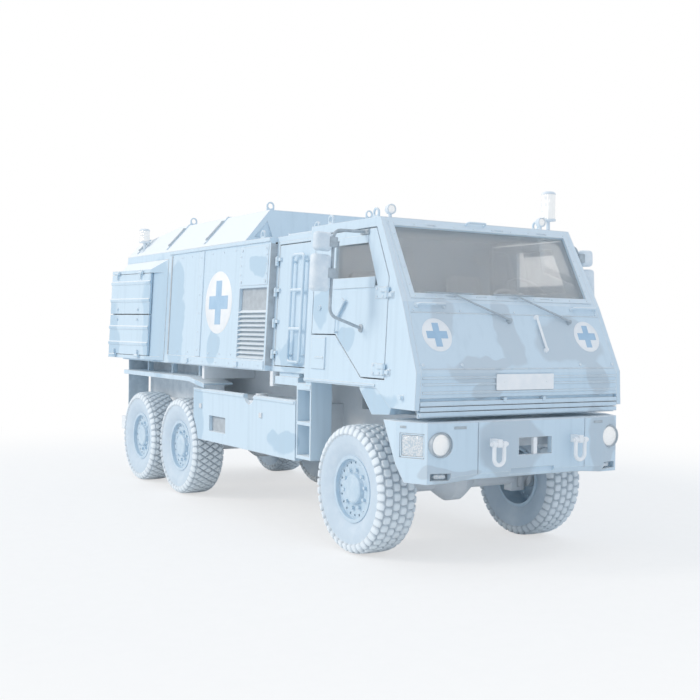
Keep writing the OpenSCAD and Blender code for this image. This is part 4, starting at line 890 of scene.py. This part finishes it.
def lens_look(name, colour, shade_colour, pebble, silvered):
    """Lamp glass, silvered behind by that share: round pebbles of the given size break up what it mirrors,
    and each pebble turns darker towards its rim as painted shade.
    """
    look, tree, shader, place = new_material(name)
    gap = node(tree, "TexVoronoi", {"Vector": place, "Scale": 1 / pebble}).outputs["Distance"]
    emboss(tree, shader, gap, pebble * 0.35, 0.8, invert=True)
    # Each pebble darkens towards its rim: painted shade.
    shade = blend_colour(tree, ramp(tree, gap, 0.2, 0.8), colour, shade_colour)
    feed(tree, shader, {"Base Color": shade, "Roughness": 0.08, "Metallic": silvered})
    feed(tree, shader, {"Transmission Weight": 0.18, "IOR": 1.4})
    return look


def bright_look(name, colour, scale, haze):
    """Bright metal or silvered glass: roughness is haze[0] times soft noise, plus haze[1]."""
    look, tree, shader, place = new_material(name)
    rough = maths(tree, "MULTIPLY_ADD", noise(tree, place, scale, 3.0), *haze)
    feed(tree, shader, {"Base Color": colour, "Metallic": 1.0, "Roughness": rough})
    return look


curve = np.linspace(0, 1, 12)
bowl_front = np.stack([BOWL_RADIUS * curve, -0.060 + 0.050 * curve**2], axis=1)
bowl = np.concatenate([bowl_front, [(BOWL_RADIUS, -0.064), (0, -0.068)]])
rings, bowls, glasses, corner_frames, corner_lenses, slots, fog_glasses = ([] for kind in range(7))
for sign in SIDES.values():
    lamp = facing_front(sign * HEADLAMP[0], *HEADLAMP[1:])
    rings.append(lathe(lamp, HEADLAMP_RING, 56, True))
    bowls += [lathe(lamp, bowl, 48), lathe(lamp, BULB, 20)]
    glasses.append(fluted_dome(shift(lamp, 0, 0, -0.004), *HEADLAMP_LENS))
    panel, corner = facet(sign, PANEL_START, PANEL_END), facet(sign, CORNER_START, CORNER_END)
    spot = shift(corner, *CORNER_LAMP)
    corner_frames.append(frame_ring(spot, *CORNER_FRAME))
    corner_frames += spots(spot, CORNER_SCREWS, *CORNER_SCREW)
    corner_lenses.append(plate(spot, *CORNER_LENS, CORNER_RINGS))
    for face, (along, up, *halves) in ((panel, PANEL_SLOT), (corner, CORNER_SLOT)):
        slots.append(plate(shift(face, along, up), *halves, 0.006, SLOT_RINGS))
    lower = shift(facet(sign, PANEL_END, CORNER_START), *FOG_LAMP)
    slots.append(plate(lower, *FOG_SLOT, FOG_SLOT_RINGS))
    fog_glasses.append(plate(lower, *FOG_LENS, FOG_RINGS))
lamp_glass = lens_look("lamp_glass", srgb(253, 254, 254), srgb(244, 248, 251), 0.004, 0.70)
pebble_glass = lens_look("pebble_glass", srgb(252, 253, 254), srgb(208, 223, 233), 0.013, 0.10)
lamp_bowl = bright_look("lamp_bowl", srgb(246, 248, 250), 60.0, (0.15, 0.10))
add_piece(piece("bumper_slots", slots), dark_plastic, "dark_plastic")
add_piece(piece("fog_lamp_lenses", fog_glasses), pebble_glass, "lamp_lens")
add_piece(piece("headlamp_rings", rings), dark_plastic, "dark_plastic")
add_piece(piece("headlamp_bowls", bowls), lamp_bowl, "lamp_lens")
add_piece(piece("headlamp_lenses", glasses), lamp_glass, "lamp_lens", "front_lamps")
add_piece(piece("corner_lamp_frames", corner_frames), field_paint, "body_paint")
add_piece(piece("corner_lamp_lenses", corner_lenses), pebble_glass, "lamp_lens")

# The tow shackles and the winch bar: forged steel bows and pins on the bumper, and an upright bar in
# the winch window. They are enamelled white so that they are found in the dark.
WINCH_BAR = (0.030, 0.9475, 0.090)
WINCH_SIZE = (0.020, 0.0675, 0.004)
WINCH_RINGS = [(0.002, -0.014), (0, -0.012), (0, 0.012), (0.004, 0.016)]
winch_bar = plate(shift(flat_front, *WINCH_BAR), *WINCH_SIZE, WINCH_RINGS)
add_piece(piece("winch_bar", [winch_bar]), white_enamel, "white_steel")
dress(white_enamel, "tow_shackles")

# The seats: two foam seats on boxed steel stands, bolted to the cab floor.
# Each has a cushion and a back in one woven cloth, sewn with two channels, and the foam pushes the
# cloth out between its edges.
SEAT_MIDDLE = 0.530
CUSHION_LOW = np.array((-0.225, -0.030, 1.632))
CUSHION_HIGH = np.array((0.225, 0.470, 1.746))
BACK_FOOT = (0.450, 1.765)
BACK_HEAD = (0.548, 2.360)
BACK_LENGTH = math.dist(BACK_FOOT, BACK_HEAD)
BACK_HALF = (0.214, 0.044)
CHANNEL_X = (-0.105, 0.105)
CHANNEL_WIDTH = 0.009
CHANNEL_DEPTH = 0.012
VOXEL = 0.013
SWELL_LIMIT = 0.012
PRESSURE = 4.0
STAND_Y = 0.230
STAND_SIZE = (0.200, 0.190, 0.030)
STAND_RINGS = [(0, 1.4245), (0, 1.600), (0.006, 1.612), (0.012, 1.634)]
HOOP_ROD = 0.012
HOOP_BEND = 0.03
# The hoop that holds the back: x from the seat's middle, y and z
HOOP = [(-0.12, 0.452, 1.63), (-0.12, 0.452, 1.84), (0.12, 0.452, 1.84), (0.12, 0.452, 1.63)]


def upright(x, y, z):
    """A place with the frame's own directions: carries (across, along, up)."""
    return plane((x, y, z), (1, 0, 0), (0, 1, 0), (0, 0, 1))


def pad(name, carry, halves):
    """A soft block: a superellipsoid of nearly square section, (cos u cos v)^0.3 and so on, in half sizes."""
    rise = np.linspace(-math.pi / 2, math.pi / 2, 25)
    turn = np.linspace(0, 2 * math.pi, 48, endpoint=False)
    u, v = np.meshgrid(rise, turn, indexing="ij")
    waves = np.stack([np.cos(u), np.sin(u), np.cos(v), np.sin(v)])
    cos_u, sin_u, cos_v, sin_v = np.sign(waves) * np.abs(waves) ** 0.30
    shape = np.stack([cos_u * cos_v, cos_u * sin_v, sin_u], axis=-1)
    shape[[0, -1], :, :2] = 0
    return piece(name, [grid(carry(shape * halves), around=True)])


def mesh_points(mesh):
    """The corners of a mesh as an array."""
    points = np.empty(len(mesh.vertices) * 3)
    mesh.vertices.foreach_get("co", points)
    return points.reshape(-1, 3)


def swell(made):
    """Blows a pad up as cloth over foam: it is remeshed evenly, pressed from inside for 20 steps without
    gravity, and no point moves further than the limit."""
    for other in bpy.context.selected_objects:
        other.select_set(False)
    made.select_set(True)
    bpy.context.view_layer.objects.active = made
    remesh = made.modifiers.new("even_mesh", "REMESH")
    remesh.mode = "VOXEL"
    remesh.voxel_size = VOXEL
    bpy.ops.object.modifier_apply(modifier=remesh.name)
    start = mesh_points(made.data)
    cloth = made.modifiers.new("cloth", "CLOTH")
    cloth.settings.use_pressure = True
    cloth.settings.uniform_pressure_force = PRESSURE
    cloth.settings.effector_weights.gravity = 0.0
    cloth.collision_settings.use_collision = False
    for step in range(1, 21):
        scene.frame_set(step)
    bpy.ops.object.modifier_apply(modifier=cloth.name)
    scene.frame_set(1)
    move = mesh_points(made.data) - start
    far = np.linalg.norm(move, axis=1, keepdims=True)
    start = start + move * np.minimum(1, SWELL_LIMIT / np.maximum(far, 1e-9))
    made.data.vertices.foreach_set("co", start.ravel())
    made.data.update()
    made.data.shade_smooth()


def sew_channels(made, middle_x, axis, face):
    """Presses two sewn lines into a pad's face: a narrow bell-shaped dip across x, only on the points that
    lie past the face along the axis."""
    points = mesh_points(made.data)
    dip = sum(bell(points[:, 0] - middle_x - x, CHANNEL_WIDTH) for x in CHANNEL_X)
    shown = np.clip(((points @ axis) - face) / CHANNEL_DEPTH, 0, 1)
    points -= np.outer(CHANNEL_DEPTH * dip * shown, axis)
    made.data.vertices.foreach_set("co", points.ravel())
    made.data.update()


def ribs(tree, place, scale, way):
    """Even ribs across one direction, as a wave from 0 to 1."""
    return node(tree, "TexWave", {"Vector": place, "Scale": scale}, bands_direction=way).outputs["Fac"]


def seat_cloth_look():
    """Woven seat cloth: two crossed sets of fine ribs, worn lighter in soft clouds."""
    look, tree, shader, place = new_material("seat_cloth")
    weave = maths(tree, "MULTIPLY", ribs(tree, place, 90.0, "X"), ribs(tree, place, 90.0, "Z"))
    worn = noise(tree, place, 10.0, 4.0)
    colour = blend_colour(tree, worn, srgb(196, 207, 215), srgb(214, 223, 230))
    colour = blend_colour(tree, maths(tree, "MULTIPLY", weave, 0.4), colour, srgb(212, 222, 229))
    emboss(tree, shader, weave, 0.0012, 0.5)
    feed(tree, shader, {"Base Color": colour, "Roughness": 0.85, "Sheen Weight": 0.2})
    return look


seat_cloth = seat_cloth_look()
back = slope(BACK_FOOT, BACK_HEAD)
back_face = heading(back, 0, 0, 1)
back_sewn = back_face @ back((0, BACK_LENGTH / 2, 0.026))
cushion_middle = (CUSHION_LOW + CUSHION_HIGH) / 2
cushion_sewn = cushion_middle[2] + 0.035
for side, sign in SIDES.items():
    middle = sign * SEAT_MIDDLE
    spot = upright(middle + cushion_middle[0], *cushion_middle[1:])
    cushion = pad(f"seat_cushion_{side}", spot, (CUSHION_HIGH - CUSHION_LOW) / 2)
    swell(cushion)
    sew_channels(cushion, middle, np.array([0, 0, 1.0]), cushion_sewn)
    spot = shift(back, middle, BACK_LENGTH / 2)
    rest = pad(f"seat_back_{side}", spot, (BACK_HALF[0], BACK_LENGTH / 2, BACK_HALF[1]))
    swell(rest)
    sew_channels(rest, middle, back_face, back_sewn)
    for soft in (cushion, rest):
        add_piece(soft, seat_cloth, "seat_cloth")

stands = []
for sign in SIDES.values():
    stands.append(plate(upright(sign * SEAT_MIDDLE, STAND_Y, 0), *STAND_SIZE, STAND_RINGS))
    hoop = rounded_path(upright(sign * SEAT_MIDDLE, 0, 0)(HOOP), HOOP_BEND)
    stands.append(tube(hoop, HOOP_ROD, (0, 1, 0), 10))
add_piece(piece("seat_stands", stands), dark_plastic, "dash_plastic", "cab_seats")

# The dashboard: a moulded plastic console under the windscreen, with the steering wheel on its column.
# It is bolted across the cab and has a fine leather-like grain.
dash_plastic = plain_look(
    "grained_plastic", srgb(216, 223, 228), srgb(200, 209, 216), 6.0, 700.0, 0.0006, 0.5
)
dress(dash_plastic, "dashboard")

# The mirrors: two shells on a bent tube frame that stands off each cab door and swings with it.
# The tubes are painted steel and the shells moulded plastic, with flat glass let in at the back.
MIRROR_REACH = 0.300
MIRROR_Y = -0.150
MIRROR_TUBE = 0.013
# Arms: height on the door, and height at the rod
ARM_LOW = (1.850, 1.935)
ARM_HIGH = (2.626, 2.612)
ARM_FOOT = [(0, 0), (0.034, 0), (0.032, 0.010), (0.020, 0.016), (0, 0.016)]
ARM_PLATE = (0.060, 0.022, 0.008)
ARM_BOLT = (0.008, 0.006)
ARM_BEND = 0.070
ARM_PLATE_RINGS = [(0, 0), (0, 0.014), (0.002, 0.017)]
# Heads, outboard of the rod: foot, head and width
MIRROR_HEADS = [(2.118, 2.410, 0.176), (2.435, 2.586, 0.160)]
HEAD_START = MIRROR_REACH + 0.018
HEAD_CORNER = 0.034
# How the back of a shell swells, as (inset, distance forwards) from the pane's edge to the crown
SHELL_RINGS = [
    (0.012, -0.012), (0.008, -0.020), (0.002, -0.019), (0, -0.014),
    (0, 0.004), (0.006, 0.022), (0.018, 0.035), (0.034, 0.041),
]
PANE_RINGS = [(0.010, -0.0135), (0.010, -0.0165), (0.012, -0.0172)]
CLAMP_SIZE = (0.038, 0.040, 0.004)
CLAMP_RINGS = [(0.002, -0.015), (0, -0.013), (0, 0.040), (0.004, 0.045)]


def edgewise(wall, y, up, out, way):
    """A plane square to a side wall, from a place on that wall: carries (distance out, up, distance along),
    where along runs forwards for way -1 and backwards for 1."""
    return lambda points: wall(np.asarray(points, float)[..., [2, 1, 0]] * (way, 1, 1) + (y, up, out))


shell_plastic = plain_look(
    "shell_plastic", srgb(232, 240, 246), srgb(212, 225, 235), 12.0, 420.0, 0.0003, 0.35
)
mirror_glass = bright_look("mirror_glass", srgb(236, 241, 245), 25.0, (0.08, 0.02))
arm_line = [
    (MIRROR_Y, ARM_HIGH[0], 0.012),
    (MIRROR_Y, ARM_HIGH[1], MIRROR_REACH),
    (MIRROR_Y, ARM_LOW[1], MIRROR_REACH),
    (MIRROR_Y, ARM_LOW[0], 0.004),
]
for side, sign in SIDES.items():
    door = leaning_side(sign)
    bars = [tube(door(rounded_path(arm_line, ARM_BEND, 10)), MIRROR_TUBE, (0, 1, 0), 14)]
    bars.append(lathe(shift(door, MIRROR_Y, ARM_LOW[0]), ARM_FOOT, 28))
    bars.append(plate(shift(door, MIRROR_Y, ARM_HIGH[0]), *ARM_PLATE, ARM_PLATE_RINGS))
    bars += spots(door, [(MIRROR_Y + y, ARM_HIGH[0], 0.017) for y in (-0.045, 0.045)], *ARM_BOLT)
    shells = []
    panes = []
    for foot, head, width in MIRROR_HEADS:
        middle = (foot + head) / 2
        face = edgewise(door, MIRROR_Y, middle, HEAD_START + width / 2, -1)
        size = (width / 2, (head - foot) / 2, HEAD_CORNER)
        shells.append(plate(face, *size, SHELL_RINGS))
        panes.append(plate(face, *size, PANE_RINGS))
        clamp = edgewise(door, MIRROR_Y, middle, HEAD_START + 0.002, -1)
        bars.append(plate(clamp, *CLAMP_SIZE, CLAMP_RINGS))
    body = f"cab_door_assembly_{side}"
    add_piece(piece(f"mirror_frame_{side}", bars), dark_plastic, "dark_plastic", f"mirror_{side}", body=body)
    add_piece(piece(f"mirror_shells_{side}", shells), shell_plastic, "dark_plastic", body=body)
    add_piece(piece(f"mirror_panes_{side}", panes), mirror_glass, "window_glass", body=body)

# The fasteners: hexagon bolts on the hinge plates, the windscreen frame, the nose and the box panels.
# They are zinc-plated steel, painted over with the body, and each stands on the plate that it holds.
HINGE_Y = -0.533
HINGE_FEET = (1.490, 2.090)
BARREL = 0.040
HINGE_BOLTS = [(y, z) for y in (0.075, 0.160) for z in (0.010, 2 * BARREL - 0.010)]
# Bolts: radius and height of the head
HINGE_BOLT = (0.011, 0.008)
PANEL_BOLT = (0.008, 0.006)
NOSE_FOOT_BOLT = (0.016, 0.010)
NOSE_TOP_BOLT = (0.009, 0.006)
FRAME_X = np.linspace(-0.90, 0.90, 10)
bolt_steel = plain_look("bolt_heads", srgb(236, 243, 248), srgb(206, 221, 232), 60.0, 500.0, 0.0002, 0.4)
hinge_places = [(HINGE_Y + y, foot + z, 0.008) for foot in HINGE_FEET for y, z in HINGE_BOLTS]
for side, sign in SIDES.items():
    made = piece(f"door_bolts_{side}", spots(leaning_side(sign), hinge_places, *HINGE_BOLT))
    add_piece(made, bolt_steel, "body_paint", body=f"cab_door_assembly_{side}")
frame_places = [(x, 0.052, 0.008) for x in FRAME_X]
frame_places += [(x, SCREEN_LENGTH - 0.060, 0.008) for x in FRAME_X if abs(x) > 0.05]
frame_places += [(x, up, 0.008) for x in (-0.922, 0.922) for up in np.linspace(0.15, SCREEN_LENGTH - 0.16, 4)]
nose_feet = [(x, 0.060, 0) for x in (-0.98, -0.615, 0.615, 0.98)]
nose_tops = [(x, NOSE_LENGTH - 0.070, 0) for x in (-0.95, -0.50, 0.05, 0.50, 0.95)]
# On the box: panel edges, the upright strip, the sill rail clear of its two blocks, the plate over the
# louvres, and the eaves
wall_places = [(y, z, 0) for y in np.arange(2.25, 3.88, 0.27) for z in (1.575, 2.610) if not 2.98 < y < 3.14]
wall_places += [(3.060, z, 0.010) for z in np.linspace(1.60, 2.58, 6)]
sill_y = [y for y in np.arange(1.62, 3.86, 0.32) if abs(y - 2.09) > 0.07 and abs(y - 3.31) > 0.07]
wall_places += [(y, 1.486, 0.012) for y in sill_y]
wall_places += [(y, z, 0.006) for y in (1.555, 2.095) for z in (2.36, 2.45, 2.54)]
wall_places += [(y, 2.690, 0) for y in np.arange(1.60, 1.99, 0.18)]
body_bolts = spots(screen, frame_places, *PANEL_BOLT)
body_bolts += spots(nose, nose_feet, *NOSE_FOOT_BOLT)
body_bolts += spots(nose, nose_tops, *NOSE_TOP_BOLT)
for sign in SIDES.values():
    body_bolts += spots(leaning_side(sign), wall_places, *PANEL_BOLT)
add_piece(piece("body_bolts", body_bolts), bolt_steel, "body_paint")

# The side reflectors: small moulded plates with a prismatic face.
# They are glued to the pads on the tank covers.
REFLECTOR_Y = (1.590, 2.980)
REFLECTOR_Z = 1.015
PAD_FACE = 1.047
REFLECTOR_SIZE = (0.027, 0.022, 0.004)
REFLECTOR_RINGS = [(0, 0), (0, 0.004), (0.002, 0.006)]


def upright_side(sign):
    """An upright plane along the vehicle: carries (y from the front axle, height, x)."""
    return plane((0, 0, 0), (0, 1, 0), (0, 0, 1), (sign, 0, 0))


reflectors = []
for sign in SIDES.values():
    for y in REFLECTOR_Y:
        spot = shift(upright_side(sign), y, REFLECTOR_Z, PAD_FACE)
        reflectors.append(plate(spot, *REFLECTOR_SIZE, REFLECTOR_RINGS))
prism_glass = lens_look("prism_glass", srgb(250, 251, 252), srgb(226, 235, 241), 0.006, 0.10)
add_piece(piece("side_reflectors", reflectors), prism_glass, "lamp_lens")

# The seals and splash sheets: cut from flat sheet and screwed or glued on. The seals are grey sheets of
# painted
# shade: they close the joints of the bay, the gap behind the cab and the seam before the lockers, and back
# the louvres and the hatch in each tank cover. The pale rubber splash sheets back the cab steps and hang
# inside the rear wheels.
SHEET_CORNER = 0.004
# Sheets on the leaning side: corners as (y, height, out)
WALL_SHEETS = [
    ((1.537, 1.547, -0.0365), (2.118, 2.228, -0.0335)),
    ((3.876, 1.540, -0.002), (3.906, 2.645, 0.005)),
    ((0.7395, 1.500, -0.084), (0.7905, 2.600, -0.074)),
]
# Strips across the side, on faces that look forwards: corners as (out, height, y)
EDGE_STRIPS = [
    ((-0.0705, 1.494, 1.4945), (-0.0015, 2.640, 1.5005)),
    ((-0.118, 1.496, 1.4405), (-0.072, 2.624, 1.4455)),
]
# Upright sheets behind the hatch and the steps, and inside the rear wheels: corners as (y, height, x)
HATCH_SHEETS = [((2.350, 0.740, 0.994), (2.800, 0.960, 1.0005))]
SPLASH_SHEETS = [
    ((0.642, 0.695, 0.824), (0.898, 1.310, 0.8305)),
    ((3.150, 1.000, 0.688), (5.334, 1.4405, 0.694)),
]


def sheet_between(carry, low, high):
    """A flat sheet with softly broken edges between two corners, in the three directions that carry takes."""
    middle = np.add(low, high) / 2
    half_w, half_h, half = np.subtract(high, low) / 2
    steps = [(0.0005, -half), (0, 0.0005 - half), (0, half - 0.001), (0.001, half)]
    return plate(shift(carry, *middle), half_w, half_h, SHEET_CORNER, steps)


# Grey sheets in the joints and gaps: painted shade.
painted_shade_rubber = plain_look("painted_shade_rubber", srgb(190, 198, 204), srgb(174, 182, 188), 14.0, 260.0, 0.0006, 0.7)
dusty_rubber = plain_look("dusty_rubber", srgb(228, 235, 240), srgb(210, 219, 226), 9.0, 260.0, 0.0006, 0.75)
seals = []
splash_sheets = []
for sign in SIDES.values():
    wall, low_side = leaning_side(sign), upright_side(sign)
    edge_on = edgewise(wall, 0, 0, 0, 1)
    for carry, sheets in ((wall, WALL_SHEETS), (edge_on, EDGE_STRIPS), (low_side, HATCH_SHEETS)):
        seals += [sheet_between(carry, low, high) for low, high in sheets]
    splash_sheets += [sheet_between(low_side, low, high) for low, high in SPLASH_SHEETS]
add_piece(piece("painted_shade_seals", seals), painted_shade_rubber, "flap_rubber")
add_piece(piece("splash_sheets", splash_sheets), dusty_rubber, "flap_rubber")

# The roof: straps over the battens of the raised roof, two beacons and two small lamps.
# The straps are dark webbing clamps pulled down on each slope. A beacon is a ribbed clear lens between
# a cast foot and a cap, on a thin stem.
# Straps: y from the front axle, and the height of the top end
STRAPS = [(3.100, 2.985), (4.150, 2.985), (5.100, 2.862)]
STRAP_FOOT = 2.765
STRAP_HALF = 0.020
STRAP_CORNER = 0.008
STRAP_BOLT = (0.009, 0.006)
STRAP_RINGS = [(0, -0.002), (0, 0.006), (0.004, 0.010), (0.012, 0.011)]
EAVES = (1.000, 2.700)
RIDGE = (0.700, 3.030)
BATTEN_RISE = 0.012
# Beacons: the foot's x, y from the front axle and z, and the whole height
BEACONS = [(0.890, -0.210, 2.735, 0.360), (-0.920, 5.000, 2.770, 0.270)]
BEACON_FOOT = [
    (0, 0), (0.046, 0), (0.046, 0.010), (0.040, 0.014), (0.018, 0.018),
    (0.015, 0.090), (0.030, 0.097), (0.066, 0.099), (0.066, 0.115), (0, 0.117),
]
# The cap's radii and heights from its top
BEACON_CAP = [(0, -0.026), (0.064, -0.025), (0.064, -0.020), (0.056, -0.008), (0.040, 0), (0, 0)]
BEACON_BLOCK_SIZE = (0.040, 0.040, 0.006)
BEACON_BLOCK = [(0, 2.735), (0, 2.766), (0.003, 2.771)]
LENS_RIBS = 20
LENS_LOW = 0.116
LENS_RADIUS = 0.061
ROOF_LAMP_X = (-0.840, 0.760)
ROOF_LAMP_Y = -0.250
ROOF_LAMP_FOOT = 2.735
ROOF_LAMP_Z = 2.810
ROOF_LAMP_LENS = (0.035, 0.008)
LAMP_STEM = [(0, 0), (0.030, 0), (0.028, 0.006), (0.014, 0.012), (0.014, 0.050), (0, 0.052)]
LAMP_SHELL = [
    (0, -0.040), (0.026, -0.038), (0.038, -0.022), (0.042, 0.000),
    (0.042, 0.026), (0.036, 0.029), (0.034, 0.022), (0, 0.020),
]


def roof_slope(sign):
    """One slope of the raised roof: carries (y, distance up the slope, distance out)."""
    x, z = unit(EAVES, RIDGE)
    return plane((sign * EAVES[0], 0, EAVES[1]), (0, 1, 0), (sign * x, 0, z), (sign * z, 0, -x))


def ribbed_lens(carry, low, high, radius):
    """A beacon's lens: a cylinder with upright ribs and three shallow bands, closed at both ends."""
    around = np.linspace(0, 2 * math.pi, 8 * LENS_RIBS, endpoint=False)
    rise, turn = np.meshgrid(np.linspace(low, high, 26), around, indexing="ij")
    bands = sum(bell(rise - low - (high - low) * k, 0.005) for k in (0.25, 0.5, 0.75))
    round_r = radius - 0.004 + 0.004 * np.abs(np.sin(LENS_RIBS * turn / 2)) - 0.003 * bands
    wall = np.stack([round_r * np.cos(turn), round_r * np.sin(turn), rise], axis=-1)
    ends = [np.broadcast_to((0.0, 0.0, k), wall[:1].shape) for k in (low, high)]
    return grid(carry(np.concatenate([ends[0], wall, ends[1]])), around=True)


straps = []
slope_rate = math.dist(EAVES, RIDGE) / (RIDGE[1] - EAVES[1])
for sign in SIDES.values():
    for y, top in STRAPS:
        foot_up, head_up = (STRAP_FOOT - EAVES[1]) * slope_rate, (top - EAVES[1]) * slope_rate
        half = (head_up - foot_up) / 2
        bar = shift(roof_slope(sign), y, (foot_up + head_up) / 2, BATTEN_RISE)
        straps.append(plate(bar, STRAP_HALF, half, STRAP_CORNER, STRAP_RINGS))
        straps += spots(bar, [(0, k * half, 0.010) for k in (-0.86, 0.86)], *STRAP_BOLT)
add_piece(piece("roof_straps", straps), dark_plastic, "dark_plastic")

beacon_metal = []
beacon_lenses = []
for *place, height in BEACONS:
    spot = upright(*place)
    beacon_metal.append(lathe(spot, BEACON_FOOT, 48))
    beacon_metal.append(lathe(shift(spot, 0, 0, height), BEACON_CAP, 48))
    beacon_lenses.append(ribbed_lens(spot, LENS_LOW, height - 0.025, LENS_RADIUS))
beacon_metal.append(plate(upright(*BEACONS[1][:2], 0), *BEACON_BLOCK_SIZE, BEACON_BLOCK))
lamp_lenses = []
for x in ROOF_LAMP_X:
    ahead = facing_front(x, ROOF_LAMP_Y, ROOF_LAMP_Z)
    beacon_metal.append(lathe(upright(x, ROOF_LAMP_Y, ROOF_LAMP_FOOT), LAMP_STEM, 28))
    beacon_metal.append(lathe(ahead, LAMP_SHELL, 36))
    lamp_lenses.append(fluted_dome(shift(ahead, 0, 0, 0.022), *ROOF_LAMP_LENS))
add_piece(piece("beacon_bodies", beacon_metal), shell_plastic, "lamp_lens", "beacons")
add_piece(piece("beacon_lenses", beacon_lenses), lamp_glass, "lamp_lens")
add_piece(piece("roof_lamp_lenses", lamp_lenses), lamp_glass, "lamp_lens")

# The rear: tail lamp lenses in the step beam, and rubber flaps behind the rear wheels.
# The lenses are screwed-in domes over the lamp bodies, and the flaps are cut from ribbed sheet.
TAIL_X = (0.750, 0.830, 0.910)
TAIL_Z = 0.645
TAIL_INSET = 0.024
TAIL_LENS = (0.031, 0.008)
FLAP_GREY = srgb(190, 205, 216)
FLAP_MUD = srgb(214, 226, 235)


def flap_look():
    """Black sheet rubber gone grey: upright ribs, and splashes of dried mud low down."""
    look, tree, shader, place = new_material("flap_rubber")
    mud = ramp(tree, noise(tree, place, 11.0, 5.0), 0.45, 0.70)
    emboss(tree, shader, ribs(tree, place, 20.0, "X"), 0.003, 0.6)
    feed(tree, shader, {"Base Color": blend_colour(tree, mud, FLAP_GREY, FLAP_MUD), "Roughness": 0.8})
    return look


tail_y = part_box("rear_step")[1].y - TAIL_INSET - axle_y
tail_lenses = []
for sign in SIDES.values():
    for x in TAIL_X:
        behind = plane((sign * x, tail_y, TAIL_Z), (1, 0, 0), (0, 0, 1), (0, 1, 0))
        tail_lenses.append(fluted_dome(behind, *TAIL_LENS))
add_piece(piece("tail_lenses", tail_lenses), prism_glass, "lamp_lens")
dress(flap_look(), "mudflaps")
